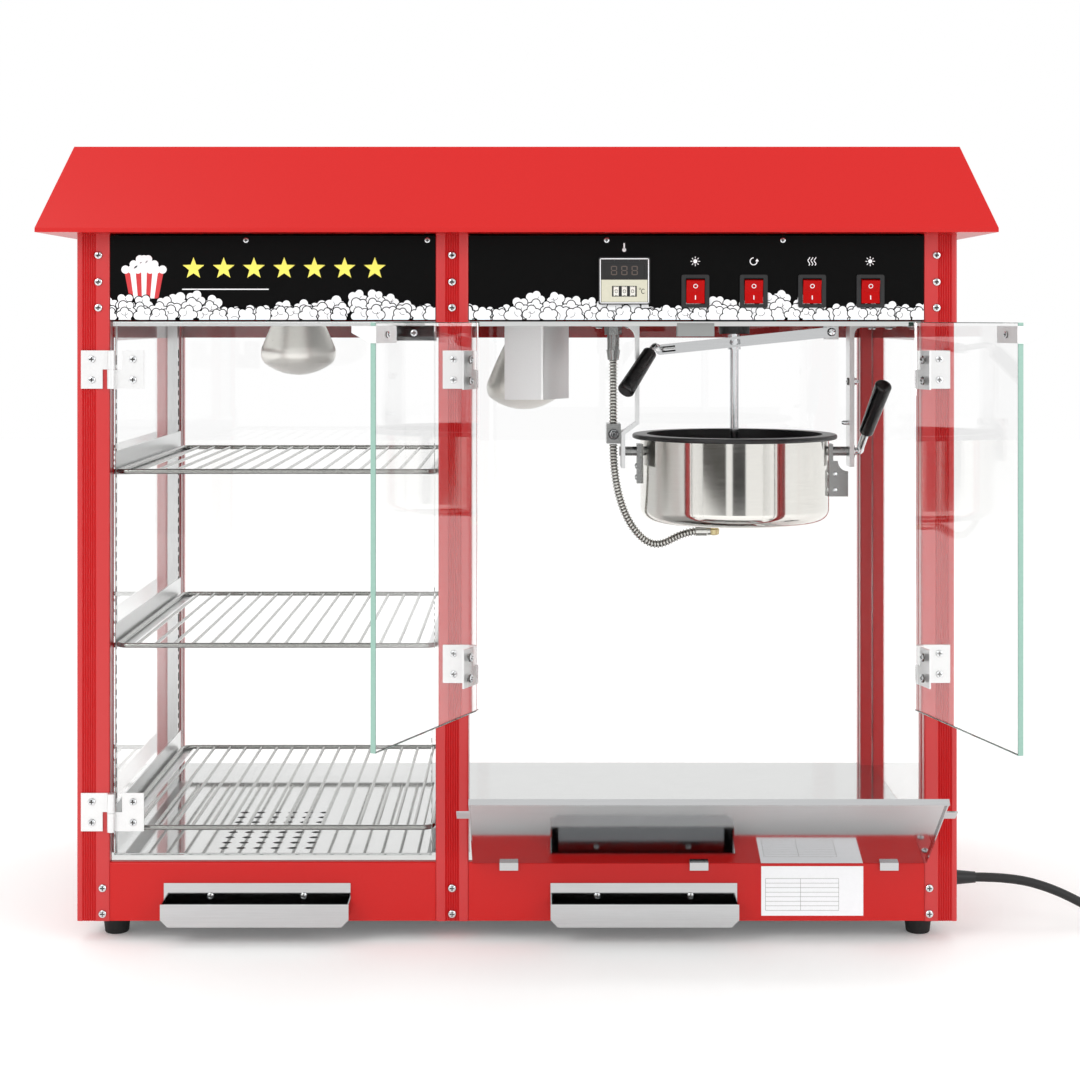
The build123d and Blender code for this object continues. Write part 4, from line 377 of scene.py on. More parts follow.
# %% Small tools
def piece(name, builder, material, body, second=None):
    """Make an object of a builder's mesh that rides on a body; marked faces take a second material."""
    mesh = bpy.data.meshes.new(name)
    builder.to_mesh(mesh)
    builder.free()
    made = bpy.data.objects.new(name, mesh)
    made.data.materials.append(material)
    if second:
        made.data.materials.append(second)
    scene.collection.objects.link(made)
    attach(made, body)
    return made


def add_face(builder, points):
    """One flat face through points."""
    builder.faces.new([builder.verts.new(point) for point in points])


def ring(x, z, radius, count=24):
    """Points of a circle, counted against the clock as seen from the front."""
    turns = [2 * math.pi * i / count for i in range(count)]
    return [(x + radius * math.cos(t), z + radius * math.sin(t)) for t in turns]


def on_front(points, y):
    """Front view points in millimetres, on a plane that faces the front."""
    return [(x * MM, y * MM, z * MM) for x, z in points]


def bar(x0, z0, x1, z1):
    """Corners of a rectangle in the front view."""
    return [(x0, z0), (x1, z0), (x1, z1), (x0, z1)]


def ribbon(points, width):
    """Four-cornered pieces of a band of even width along front view points."""
    bands = []
    for (x0, z0), (x1, z1) in zip(points, points[1:]):
        length = math.hypot(x1 - x0, z1 - z0)
        side_x = -(z1 - z0) / length * width / 2
        side_z = (x1 - x0) / length * width / 2
        bands.append([(x0 - side_x, z0 - side_z), (x1 - side_x, z1 - side_z),
                      (x1 + side_x, z1 + side_z), (x0 + side_x, z0 + side_z)])
    return bands


SCREW_RINGS = (1.0, 0.98, 0.86, 0.66, 0.6, 0.3)
SCREW_SIDES = 24
SCREW_WALL, SCREW_CROWN = 0.3, 0.25
RECESS_REACH, RECESS_HALF, RECESS_DEPTH = 0.6, 0.1, 0.3


def add_screw(builder, place, out, radius=3.6):
    """A pan head standing on a face, with painted shade on its cross recess, middle and foot ring; sizes
    in millimetres.
    """
    turn = Vector((0, 0, 1)).rotation_difference(Vector(out)).to_matrix().to_4x4()
    seat = Matrix.Translation(Vector(place) * MM) @ turn
    rows = []
    for share in SCREW_RINGS:
        row = []
        for i in range(SCREW_SIDES):
            angle = 2 * math.pi * i / SCREW_SIDES
            x = share * math.cos(angle)
            y = share * math.sin(angle)
            height = 0 if share == 1 else SCREW_WALL + SCREW_CROWN * math.sqrt(1 - share * share)
            recess = share <= RECESS_REACH and min(abs(x), abs(y)) < RECESS_HALF
            point = Vector((x, y, height - RECESS_DEPTH * recess)) * radius * MM
            row.append(builder.verts.new(seat @ point))
        rows.append(row)
    quarter = SCREW_SIDES / 4
    for ring_number, (outer, inner) in enumerate(zip(rows, rows[1:])):
        for i in range(SCREW_SIDES):
            j = (i + 1) % SCREW_SIDES
            band = builder.faces.new((outer[i], outer[j], inner[j], inner[i]))
            arm = (i + 0.5) % quarter
            recess = SCREW_RINGS[ring_number + 1] <= RECESS_REACH and min(arm, quarter - arm) < 1
            # The foot ring, the cross recess and the middle disc take the dark second material: painted
            # shade
            band.material_index = 1 if ring_number == 0 or recess else 0
    builder.faces.new(rows[-1]).material_index = 1


def add_turned(builder, profile, origin, axis, sides=24):
    """A turned shape: pairs of distance along the axis and radius, in millimetres."""
    turn = Vector((0, 0, 1)).rotation_difference(Vector(axis)).to_matrix().to_4x4()
    seat = Matrix.Translation(Vector(origin) * MM) @ turn
    angles = [2 * math.pi * k / sides for k in range(sides)]
    rows = []
    for along, radius in profile:
        rings = [Vector((radius * math.cos(a), radius * math.sin(a), along)) * MM for a in angles]
        rows.append([builder.verts.new(seat @ point) for point in rings])
    for first, second in zip(rows, rows[1:]):
        for k in range(sides):
            j = (k + 1) % sides
            builder.faces.new((first[k], first[j], second[j], second[k]))
    builder.faces.new(list(reversed(rows[0])))
    builder.faces.new(rows[-1])


def add_nut(builder, place, out, radius=4.5):
    """A hexagon nut on a washer, with the end of its bolt."""
    washer = ((0, 1.35), (0.2, 1.35))
    hexagon = ((0.2, 1), (0.9, 1), (1, 0.85))
    bolt = ((1, 0.5), (1.3, 0.5), (1.4, 0.4))
    for profile, sides in ((washer, 24), (hexagon, 6), (bolt, 24)):
        sized = [(along * radius, reach * radius) for along, reach in profile]
        add_turned(builder, sized, place, out, sides)


def add_rivet(builder, place, out, radius=3):
    """A domed rivet head."""
    add_turned(builder, [(0, radius), (0.2 * radius, radius), (0.5 * radius, 0.75 * radius),
                         (0.66 * radius, 0.3 * radius)], place, out)


print("tools ready")

# %% [markdown]
# ## Fasteners
# Three screws per post hold the header and two the base, on the front, the sides and the back. Each
# hinge leaf has two screws; those of the doors have a second head on the inner face of the glass.

# %% Screws in the posts
FRONT, REAR = post_low.y / MM, post_high.y / MM
SIDE = post_high.x / MM
HEADER_SCREWS = (666, 640, 615)
BASE_SCREWS = (52, 27)
MIDDLE_POST = -63
CORNER_POST = 411
HEADER_COLUMNS = (-CORNER_POST + 5, MIDDLE_POST, CORNER_POST - 4)
BASE_COLUMNS = (-CORNER_POST + 9, MIDDLE_POST, CORNER_POST - 11)
SIDE_SETBACK = 16
PANEL_SCREWS, PANEL_SCREW_Z, PANEL_HEAD = (-263, -87, 87, 258), 680.5, 2.6

screws = bmesh.new()
for levels, columns in ((HEADER_SCREWS, HEADER_COLUMNS), (BASE_SCREWS, BASE_COLUMNS)):
    for z in levels:
        for x in columns:
            add_screw(screws, (x, FRONT, z), (0, -1, 0))
for z in HEADER_SCREWS + BASE_SCREWS:
    for side in (-1, 1):
        add_screw(screws, (side * CORNER_POST, REAR, z), (0, 1, 0))
        for y in (FRONT + SIDE_SETBACK, REAR - SIDE_SETBACK):
            add_screw(screws, (side * SIDE, y, z), (side, 0, 0))
HEADER_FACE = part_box("header_panels")[0][1] / MM
for x in PANEL_SCREWS:
    add_screw(screws, (x, HEADER_FACE, PANEL_SCREW_Z), (0, -1, 0), PANEL_HEAD)
print("post screws done")

# %% Screws in the hinges
HINGE_LINE = -219
LEAF_FRONT = -216.5
POST_LEAF, DOOR_LEAF = 19.5, 20.5
LEAF_SCREW, LEAF_HEAD, INNER_HEAD = 10, 3.4, 4
WARMER_LEVELS = (126, 555)
POPPER_LEVELS = (269.9, 555)
HINGE_REACH, MIDDLE_HINGE = 392.7, -44.7
DOORS = (
    ("warmer_door", -HINGE_REACH, 1, 0, WARMER_LEVELS),
    ("left_door", MIDDLE_HINGE, 1, LEFT_ANGLE, POPPER_LEVELS),
    ("right_door", HINGE_REACH, -1, RIGHT_ANGLE, POPPER_LEVELS),
)


def screw_levels(levels):
    """Heights of the screws of a door's leaves."""
    return [level + lift for level in levels for lift in (-LEAF_SCREW, LEAF_SCREW)]


def door_axes(hinge_x, swing, angle):
    """A door's hinge corner, the direction along its pane and the one through it to the inside."""
    turn = math.radians(angle)
    along = Vector((swing * math.cos(turn), -math.sin(turn), 0))
    inward = Vector((-along.y, along.x, 0)) * swing
    return Vector((hinge_x, HINGE_LINE, 0)), along, inward


for name, hinge_x, swing, angle, levels in DOORS:
    for z in screw_levels(levels):
        add_screw(screws, (hinge_x - swing * POST_LEAF, LEAF_FRONT, z), (0, -1, 0), LEAF_HEAD)
piece("cabinet_screws", screws, chrome, "cabinet", hot_steel_and_shade)

GLASS_INSIDE, PANE = 9, 5
GLASS_OUTSIDE = GLASS_INSIDE - PANE
LEAF_SHEET = 1.5
CATCH_INSET, CATCH_DROP, CATCH_SHEET, CATCH_HEAD = 20, 10.5, 1.2, 3
warmer_low, warmer_high = (Vector(corner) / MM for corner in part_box("warmer_door_glass"))
POPPER_DOOR, POPPER_PANE = 215.7, 214.2
DOOR_WIDTHS = {
    "warmer_door": warmer_high.x + HINGE_REACH, "left_door": POPPER_DOOR, "right_door": POPPER_DOOR,
}
DOOR_SPANS = {
    "warmer_door": warmer_high.x - warmer_low.x, "left_door": POPPER_PANE, "right_door": POPPER_PANE,
}
for name, hinge_x, swing, angle, levels in DOORS:
    corner, along, inward = door_axes(hinge_x, swing, angle)
    heads = bmesh.new()
    for z in screw_levels(levels):
        seat = corner + along * DOOR_LEAF + Vector((0, 0, z))
        add_screw(heads, seat + inward * (GLASS_OUTSIDE - LEAF_SHEET), -inward, LEAF_HEAD)
        add_screw(heads, seat + inward * GLASS_INSIDE, inward, INNER_HEAD)
    catch = corner + along * (DOOR_WIDTHS[name] - CATCH_INSET) + Vector((0, 0, warmer_high.z - CATCH_DROP))
    add_screw(heads, catch + inward * (GLASS_INSIDE + CATCH_SHEET), inward, CATCH_HEAD)
    add_screw(heads, catch + inward * GLASS_OUTSIDE, -inward, LEAF_HEAD)
    piece(name + "_screws", heads, chrome, name, hot_steel_and_shade)
print("hinge screws done")

# %% Ground edges of the doors
EDGE_LIFT = 0.04
for name, hinge_x, swing, angle, levels in DOORS:
    corner, along, inward = door_axes(hinge_x, swing, angle)
    low, high = (Vector(spot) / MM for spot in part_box(name + "_glass"))
    free = DOOR_WIDTHS[name] + EDGE_LIFT
    start = DOOR_WIDTHS[name] - DOOR_SPANS[name]
    bottom, top = low.z - EDGE_LIFT, high.z + EDGE_LIFT
    strips = ((free, low.z, free, high.z), (start, bottom, free, bottom), (start, top, free, top))
    edges = bmesh.new()
    for first, foot, last, head in strips:
        start_point = corner + along * first + Vector((0, 0, foot))
        end_point = corner + along * last + Vector((0, 0, head))
        outer, inner = inward * GLASS_OUTSIDE, inward * GLASS_INSIDE
        strip = (start_point + outer, start_point + inner, end_point + inner, end_point + outer)
        add_face(edges, [point * MM for point in strip])
    piece(name + "_edges", edges, pane_edge, name)
print("door edges done")

# %% Painted shade in the slots of the shelf standards and the holes of the floors
STANDARD_DEPTH, STANDARD_WIDTH = 11.5, 14
SLOT_PITCH, SLOT_STEPS = 34, 3
SLOT_HALF, CUT_HALF, MARK_HALF, MARK_LIFT = 3, 4.7, 2.8, 0.05
rack_low, rack_high = (Vector(corner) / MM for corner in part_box("shelf_supports"))
slot_rows = int((rack_high.z - rack_low.z) / SLOT_PITCH) - 1
slot_foot = (rack_low.z + rack_high.z - (slot_rows - 1) * SLOT_PITCH) / 2
# Dark quads a hair off each standard's web: painted shade over each cut slot, and smaller painted slot
# shade between the cut slots where the solid has none
slots = bmesh.new()
for web, out in ((rack_low.x + STANDARD_DEPTH, 1), (rack_high.x - STANDARD_DEPTH, -1)):
    for y in (rack_low.y + STANDARD_WIDTH / 2, rack_high.y - STANDARD_WIDTH / 2):
        for i in range((slot_rows - 1) * SLOT_STEPS + 1):
            half = CUT_HALF if i % SLOT_STEPS == 0 else MARK_HALF
            z = slot_foot + i * SLOT_PITCH / SLOT_STEPS
            corners = [(y - SLOT_HALF, z - half), (y + SLOT_HALF, z - half),
                       (y + SLOT_HALF, z + half), (y - SLOT_HALF, z + half)]
            add_face(slots, [Vector((web + out * MARK_LIFT, *spot)) * MM for spot in corners[::out]])

FLOOR_TOP, HOLE_LIFT, HOLE_RADIUS = 85, 0.05, 3.9
FIELDS_X, FIELD_Y = (-246, 123), -118
FIELD_PITCH, FIELD_COLUMNS, FIELD_ROWS = (16.8, 20.7), 6, 8
# Dark discs a hair over the floor's top: painted shade of the floor's holes
hole = ring(0, 0, HOLE_RADIUS, 18)
for field_x in FIELDS_X:
    for column in range(FIELD_COLUMNS):
        for row in range(FIELD_ROWS):
            x = field_x + (column - (FIELD_COLUMNS - 1) / 2) * FIELD_PITCH[0]
            y = FIELD_Y + (row - (FIELD_ROWS - 1) / 2) * FIELD_PITCH[1]
            add_face(slots, [Vector((x + dx, y + dy, FLOOR_TOP + HOLE_LIFT)) * MM for dx, dy in hole])
piece("painted_slot_and_hole_shade", slots, black_ink_and_shade, "cabinet")
print("slot rows:", slot_rows)

# %% Fasteners of the hangers, the lever and the kettle
kettle_low, kettle_high = (Vector(corner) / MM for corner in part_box("kettle_pot"))
KETTLE_X = (kettle_low.x + kettle_high.x) / 2
TILT_AXIS = 462
CEILING = 600
RIGHT_ARM = (353, 358)
LEFT_FLANGE_SCREWS = (85, 117)
SPRING_BOLT_Z, STOP_PIN_Z, CLAMP_NUT_Z = 537, 493, 481
STOP_PIN = [(0, 2.4), (6, 2.4), (8, 1.6)]
LEVER_PIVOT = (334, -12, 590)
SPRING_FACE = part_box("detent_spring")[1][0] / MM
CLAMP_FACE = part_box("conduit_fittings")[0][1] / MM
upper_low, upper_high = (Vector(corner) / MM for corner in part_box("upper_conduit"))
HOSE_X = (upper_low.x + upper_high.x) / 2
fixings = bmesh.new()
for x in (RIGHT_ARM[1] + 20, RIGHT_ARM[1] + 38):
    add_screw(fixings, (x, -6, CEILING - 5), (0, 0, -1), 4.2)
for x in LEFT_FLANGE_SCREWS:
    add_screw(fixings, (x, -25, CEILING - 4), (0, 0, -1), 4)
add_screw(fixings, (RIGHT_ARM[0], -3, SPRING_BOLT_Z), (-1, 0, 0), 4)
add_nut(fixings, (SPRING_FACE, -3, SPRING_BOLT_Z), (1, 0, 0), 3.6)
add_turned(fixings, STOP_PIN, (RIGHT_ARM[0], -9, STOP_PIN_Z), (-1, 0, 0))
add_nut(fixings, (HOSE_X, CLAMP_FACE, CLAMP_NUT_Z), (0, -1, 0), 4.4)
add_rivet(fixings, LEVER_PIVOT, (0, -1, 0), 4.5)
piece("hanger_fasteners", fixings, chrome, "cabinet", hot_steel_and_shade)

LEFT_RIVETS, RIGHT_RIVETS = (446, 434), (421, 438)
LEFT_BRACKET, RIGHT_BRACKET = KETTLE_X - 105, KETTLE_X + 107
PIN_WASHER = [(0, 7.4), (1.4, 7.4)]
BRACKET_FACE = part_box("kettle_brackets")[0][1] / MM
pot_fixings = bmesh.new()
for z in LEFT_RIVETS:
    add_rivet(pot_fixings, (LEFT_BRACKET, 0, z), (-1, 0, 0), 3.2)
for z in RIGHT_RIVETS:
    add_rivet(pot_fixings, (RIGHT_BRACKET, BRACKET_FACE, z), (0, -1, 0), 2.6)
add_turned(pot_fixings, PIN_WASHER, (RIGHT_ARM[1] + 0.3, 0, TILT_AXIS), (1, 0, 0))
piece("kettle_rivets", pot_fixings, chrome, "kettle")

# %% Screws in the drawer pulls
PULL_DEPTH, PULL_SCREW_Z, PULL_HEAD = 20.8, 45, 3
for name in ("water_drawer", "crumb_drawer"):
    low, high = (Vector(corner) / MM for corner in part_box(name))
    pull_screws = bmesh.new()
    for share in (0.25, 0.75):
        x = low.x + share * (high.x - low.x)
        add_screw(pull_screws, (x, low.y + PULL_DEPTH, PULL_SCREW_Z), (0, -1, 0), PULL_HEAD)
    piece(name + "_screws", pull_screws, chrome, name, hot_steel_and_shade)
print("kettle and drawer fasteners done")

# %% [markdown]
# ## Printed header
# The prints are thin shapes in front of the black panels: a border of popped corn along the bottom,
# a striped tub and a row of stars on the sign, and plain symbols over the controls. Layers are
# a few hundredths of a millimetre apart.

# %% Border of popped corn
INK_STEP = 0.04
PANEL_BOTTOM = 603
SIGN_SPAN = (-395, -79)
CONTROL_SPAN = (-47, 395)
OUTLINE, OUTLINE_POINTS, PRINT_MARGIN = 0.9, 60, 0.3
CURL_STROKE, CURL_MARGIN = 0.45, 9
draw = random.Random(7)


def puff_lobes(x, z, size):
    """Circles of one popped kernel: a middle and a ring of lobes round it."""
    lobes = [(x, z, 0.7 * size)]
    start = draw.uniform(0, 2 * math.pi)
    for i in range(5):
        angle = start + 2 * math.pi * i / 5
        reach = size * draw.uniform(0.55, 0.68)
        radius = size * draw.uniform(0.36, 0.48)
        lobes.append((x + reach * math.cos(angle), z + reach * math.sin(angle), radius))
    return lobes


def puff_outline(lobes, grow, span):
    """The outside of a kernel's circles, seen from its middle and kept on the panel."""
    x, z, _ = lobes[0]
    points = []
    for i in range(OUTLINE_POINTS):
        angle = 2 * math.pi * i / OUTLINE_POINTS
        c, s = math.cos(angle), math.sin(angle)
        reach = 0
        for lobe_x, lobe_z, radius in lobes:
            along = (lobe_x - x) * c + (lobe_z - z) * s
            aside = (lobe_x - x) * s - (lobe_z - z) * c
            inside = (radius + grow) ** 2 - aside ** 2
            if inside > 0:
                reach = max(reach, along + math.sqrt(inside))
        held_x = min(max(x + reach * c, span[0] + PRINT_MARGIN), span[1] - PRINT_MARGIN)
        points.append((held_x, max(z + reach * s, PANEL_BOTTOM + PRINT_MARGIN)))
    return points


def lobe_curl(lobes, lobe_x, lobe_z, radius):
    """The part of a lobe's circle that shows as a line inside the kernel."""
    middle = math.atan2(lobes[0][1] - lobe_z, lobes[0][0] - lobe_x)
    angles = [middle + 0.25 * k for k in range(-4, 5)]
    return [(lobe_x + radius * math.cos(a), lobe_z + radius * math.sin(a)) for a in angles]


# Height over the panel's lower edge, pitch and size of each row of kernels
ROWS = ((19, 17, 9.5), (11, 16, 9), (4, 15, 8.5))
puffs = bmesh.new()
outlines = bmesh.new()
for span in (SIGN_SPAN, CONTROL_SPAN):
    for row, (height, pitch, size) in enumerate(ROWS):
        count = int((span[1] - span[0]) / pitch)
        for i in range(count + 1):
            x = span[0] + i * pitch + draw.uniform(-3, 3)
            mound = 0.62 + 0.3 * math.sin(x / 31) + 0.2 * math.sin(x / 13)
            z = PANEL_BOTTOM + height * (mound if row < 2 else 1) + draw.uniform(-1, 1)
            layer = HEADER_FACE - INK_STEP * (1 + 6 * row + 3 * (i % 2))
            lobes = puff_lobes(x, z, size * draw.uniform(0.85, 1.1))
            add_face(outlines, on_front(puff_outline(lobes, OUTLINE, span), layer))
            add_face(puffs, on_front(puff_outline(lobes, 0, span), layer - INK_STEP))
            for lobe in lobes[1:3]:
                curl = lobe_curl(lobes, *lobe)
                low = min(point[1] for point in curl)
                if low > PANEL_BOTTOM + 1 and span[0] + CURL_MARGIN < x < span[1] - CURL_MARGIN:
                    for shape in ribbon(curl, CURL_STROKE):
                        add_face(outlines, on_front(shape, layer - 2 * INK_STEP))
piece("popcorn_border_lines", outlines, black_ink_and_shade, "cabinet")
piece("popcorn_border", puffs, white_ink, "cabinet")
print("border printed")

# %% Striped tub and stars on the sign
SIGN_LAYER = HEADER_FACE - 0.02
TUB_MIDDLE = -362
TUB_TOP, TUB_BOTTOM = 650, 624
TUB_TOP_HALF, TUB_BOTTOM_HALF = 19, 14
STRIPES = 7
white_tub = bmesh.new()
red_tub = bmesh.new()
for i in range(STRIPES):
    left, right = -1 + 2 * i / STRIPES, -1 + 2 * (i + 1) / STRIPES
    stripe = [(TUB_MIDDLE + left * TUB_BOTTOM_HALF, TUB_BOTTOM),
              (TUB_MIDDLE + right * TUB_BOTTOM_HALF, TUB_BOTTOM),
              (TUB_MIDDLE + right * TUB_TOP_HALF, TUB_TOP),
              (TUB_MIDDLE + left * TUB_TOP_HALF, TUB_TOP)]
    add_face(red_tub if i % 2 == 0 else white_tub, on_front(stripe, SIGN_LAYER))
for step in range(7):
    for row in range(3):
        x = TUB_MIDDLE + (step - 3) * (6 - row)
        z = TUB_TOP + 2 + row * 5
        if abs(step - 3) <= 3 - row:
            add_face(white_tub, on_front(ring(x, z, 4), SIGN_LAYER - INK_STEP * (1 + (step + row) % 3)))
piece("tub_white", white_tub, white_ink, "cabinet")
piece("tub_red", red_tub, red_ink, "cabinet")

STARS = 7
STAR_FIRST, STAR_LAST = -314, -138
STAR_HEIGHT = 653
STAR_OUTER, STAR_INNER = 11, 4.6
stars = bmesh.new()
for i in range(STARS):
    x = STAR_FIRST + (STAR_LAST - STAR_FIRST) * i / (STARS - 1)
    points = []
    for k in range(10):
        reach = STAR_OUTER if k % 2 == 0 else STAR_INNER
        angle = math.radians(90 + 36 * k)
        points.append((x + reach * math.cos(angle), STAR_HEIGHT + reach * math.sin(angle)))
    add_face(stars, on_front(points, SIGN_LAYER))
piece("sign_stars", stars, yellow_ink, "cabinet")

SIGN_RULE = (-325, 632.4, -241, 633.4)
rule = bmesh.new()
add_face(rule, on_front(bar(*SIGN_RULE), SIGN_LAYER))
piece("sign_rule", rule, white_ink, "cabinet")
print("sign printed")

# %% Symbols over the controls
SWITCHES = [173 + 56.6 * i for i in range(4)]
SYMBOL_HEIGHT, THERMOMETER_HEIGHT = 660, 673.5


def sun(x, z):
    """A disc with eight rays."""
    shapes = [ring(x, z, 2)]
    for i in range(8):
        angle = math.pi * i / 4
        ends = [(x + r * math.cos(angle), z + r * math.sin(angle)) for r in (2.9, 4.6)]
        shapes += ribbon(ends, 0.7)
    return shapes


def turning(x, z):
    """Three quarters of a circle with an arrow head."""
    path = [(x + 3.4 * math.cos(math.radians(a)), z + 3.4 * math.sin(math.radians(a)))
            for a in range(90, 361, 15)]
    return ribbon(path, 0.9) + [[(x + 1.6, z), (x + 5.2, z), (x + 3.4, z + 2.6)]]


def heat(x, z):
    """Three rising waves."""
    shapes = []
    for shift in (-3, 0, 3):
        path = [(x + shift + 0.9 * math.sin(i * 0.8), z - 4 + 0.8 * i) for i in range(11)]
        shapes += ribbon(path, 0.8)
    return shapes


def thermometer(x, z):
    """A stem on a bulb."""
    return [ring(x, z - 2.4, 1.9)] + [bar(x - 0.7, z - 2, x + 0.7, z + 4.2)]


CONTROLLER_MIDDLE = sum(corner[0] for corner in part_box("controller_housing")) / 2 / MM
marks = bmesh.new()
for x, symbol in zip(SWITCHES, (sun, turning, heat, sun)):
    for shape in symbol(x, SYMBOL_HEIGHT):
        add_face(marks, on_front(shape, SIGN_LAYER))
for shape in thermometer(CONTROLLER_MIDDLE, THERMOMETER_HEIGHT):
    add_face(marks, on_front(shape, SIGN_LAYER))
piece("control_symbols", marks, white_ink, "cabinet")
print("symbols printed")

# %% [markdown]
# ## Temperature controller
# A pale frame line, a dark window with three unlit digits, a beige lower face, and the digits that
# run round each setting wheel.

# %% Controller face
SEGMENTS = ("abcdef", "bc", "abged", "abgcd", "fgbc", "afgcd", "afgedc", "abc", "abcdefg", "abcfgd")


def segments(digit, x, z, width, height, stroke):
    """Bars of a seven-segment digit round a middle point."""
    w, h, s = width / 2, height / 2, stroke / 2
    bars = {
        "a": bar(x - w + s, z + h - s, x + w - s, z + h + s),
        "g": bar(x - w + s, z - s, x + w - s, z + s),
        "d": bar(x - w + s, z - h - s, x + w - s, z - h + s),
        "f": bar(x - w - s, z + s, x - w + s, z + h),
        "b": bar(x + w - s, z + s, x + w + s, z + h),
        "e": bar(x - w - s, z - h, x - w + s, z - s),
        "c": bar(x + w - s, z - h, x + w + s, z - s),
    }
    return [bars[key] for key in SEGMENTS[digit]]


control_low, control_high = (Vector(corner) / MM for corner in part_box("controller_housing"))
BEZEL_FACE = control_low.y
DISPLAY_DEPTH = 1.2
WHEEL_RADIUS = 9
WHEEL_PITCH = 8
wheel_low, wheel_high = (Vector(corner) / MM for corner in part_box("tens_wheel"))
WHEEL_AXIS = ((wheel_low.y + wheel_high.y) / 2, (wheel_low.z + wheel_high.z) / 2)
CONTROL_Z = (control_low.z + control_high.z) / 2

INSET, STROKE = 1.2, 0.9
x0, z0 = control_low.x + INSET, control_low.z + INSET
x1, z1 = control_high.x - INSET, control_high.z - INSET
line = bmesh.new()
for shape in (bar(x0, z0, x1, z0 + STROKE), bar(x0, z1 - STROKE, x1, z1),
              bar(x0, z0, x0 + STROKE, z1), bar(x1 - STROKE, z0, x1, z1)):
    add_face(line, on_front(shape, BEZEL_FACE - INK_STEP))
piece("controller_line", line, white_ink, "cabinet")

digits = bmesh.new()
for i in (-1, 0, 1):
    for shape in segments(8, CONTROLLER_MIDDLE + 10 * i, CONTROL_Z + 10, 5, 8, 1):
        add_face(digits, on_front(shape, BEZEL_FACE + DISPLAY_DEPTH - INK_STEP))
piece("display_digits", digits, display_ink, "cabinet")

face = bmesh.new()
window = 1.5 * WHEEL_PITCH
low_z, high_z = control_low.z + 2.6, CONTROL_Z + 1
for shape in (bar(x0 + 1.5, low_z, CONTROLLER_MIDDLE - window, high_z),
              bar(CONTROLLER_MIDDLE + window, low_z, x1 - 1.5, high_z),
              bar(CONTROLLER_MIDDLE - window, low_z, CONTROLLER_MIDDLE + window, WHEEL_AXIS[1] - 5.2),
              bar(CONTROLLER_MIDDLE - window, WHEEL_AXIS[1] + 5.2, CONTROLLER_MIDDLE + window, high_z)):
    add_face(face, on_front(shape, BEZEL_FACE - INK_STEP))
piece("controller_face", face, beige_face, "cabinet")

unit = bmesh.new()
unit_x, unit_z = CONTROLLER_MIDDLE + 17, WHEEL_AXIS[1]
degree = ring(unit_x - 2, unit_z + 2.4, 0.8, 12)
for shape in ribbon(degree + degree[:1], 0.35):
    add_face(unit, on_front(shape, BEZEL_FACE - 2 * INK_STEP))
arc = [(unit_x + 1.2 + 1.7 * math.cos(math.radians(a)), unit_z + 2.2 * math.sin(math.radians(a)))
       for a in range(45, 316, 18)]
for shape in ribbon(arc, 0.6):
    add_face(unit, on_front(shape, BEZEL_FACE - 2 * INK_STEP))
piece("unit_mark", unit, black_ink_and_shade, "cabinet")

# %% Digits round the wheels
for name, shift in (("hundreds_wheel", -1), ("tens_wheel", 0), ("units_wheel", 1)):
    figures = bmesh.new()
    wheel_x = CONTROLLER_MIDDLE + shift * WHEEL_PITCH
    for digit in range(10):
        for shape in segments(digit, 0, 0, 1.9, 3, 0.45):
            corners = []
            for across, along in shape:
                angle = math.radians(36 * digit) + along / WHEEL_RADIUS
                reach = WHEEL_RADIUS + 0.03
                corners.append(Vector((wheel_x + across, WHEEL_AXIS[0] - reach * math.cos(angle),
                                       WHEEL_AXIS[1] + reach * math.sin(angle))) * MM)
            add_face(figures, corners)
    piece(name + "_digits", figures, black_ink_and_shade, name)
print("controller done")

# %% Marks on the rockers
ROCKER_TIP = math.radians(7)
ROCKER_PIVOT = (-212, 631)
FACE_TOP, FACE_MIDDLE, FACE_REACH = -6.4, -4, 11.1
slope = math.atan2(FACE_MIDDLE - FACE_TOP, FACE_REACH)


def rocker_point(x, across, along, half):
    """A point on the upper (half 1) or lower (half -1) face of a rocker, a hair in front of it."""
    v = half * FACE_REACH / 2 + along * math.cos(slope)
    u = (FACE_TOP + FACE_MIDDLE) / 2 - half * along * math.sin(slope) - 0.05
    c, s = math.cos(ROCKER_TIP), math.sin(ROCKER_TIP)
    return Vector((x + across, ROCKER_PIVOT[0] + u * c - v * s, ROCKER_PIVOT[1] + u * s + v * c)) * MM


for i, x in enumerate(SWITCHES, 1):
    marks = bmesh.new()
    circle = ring(0, 0, 1.9)
    for shape in ribbon(circle + circle[:1], 0.7):
        add_face(marks, [rocker_point(x, across, along, 1) for across, along in shape])
    add_face(marks, [rocker_point(x, across, along, -1) for across, along in bar(-0.45, -2, 0.45, 2)])
    piece(f"rocker_{i}_marks", marks, white_ink, f"rocker_{i}")
print("rockers marked")

# %% [markdown]
# ## Bare plate on the base
# A blank ruled plate at the right of the base's front.

# %% Plate
PLATE = (237, 25, 336, 73)
BASE_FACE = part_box("base_front_panels")[0][1] / MM
plate = bmesh.new()
add_face(plate, on_front(bar(*PLATE), BASE_FACE - 0.1))
piece("bare_plate", plate, white_ink, "cabinet")
rules = bmesh.new()
for i in range(8):
    z = PLATE[1] + 5 + 4.4 * i
    add_face(rules, on_front(bar(PLATE[0] + 4, z, PLATE[2] - 24, z + 0.35), BASE_FACE - 0.14))
for x in (PLATE[0] + 4, PLATE[0] + 38, PLATE[2] - 24):
    add_face(rules, on_front(bar(x, PLATE[1] + 5, x + 0.35, PLATE[1] + 36), BASE_FACE - 0.14))
piece("plate_rules", rules, grey_ink, "cabinet")
print("plate done")

# %% [markdown]
# ## Armoured conduit
# Galvanised strip wound into a hose. The line is a smooth spline through the route; rings along it
# alternate between crest and root.

# %% Hoses
HOSE_CREST, HOSE_ROOT, HOSE_PITCH = 4.6, 3.4, 3.4
HOSE_SIDES = 20


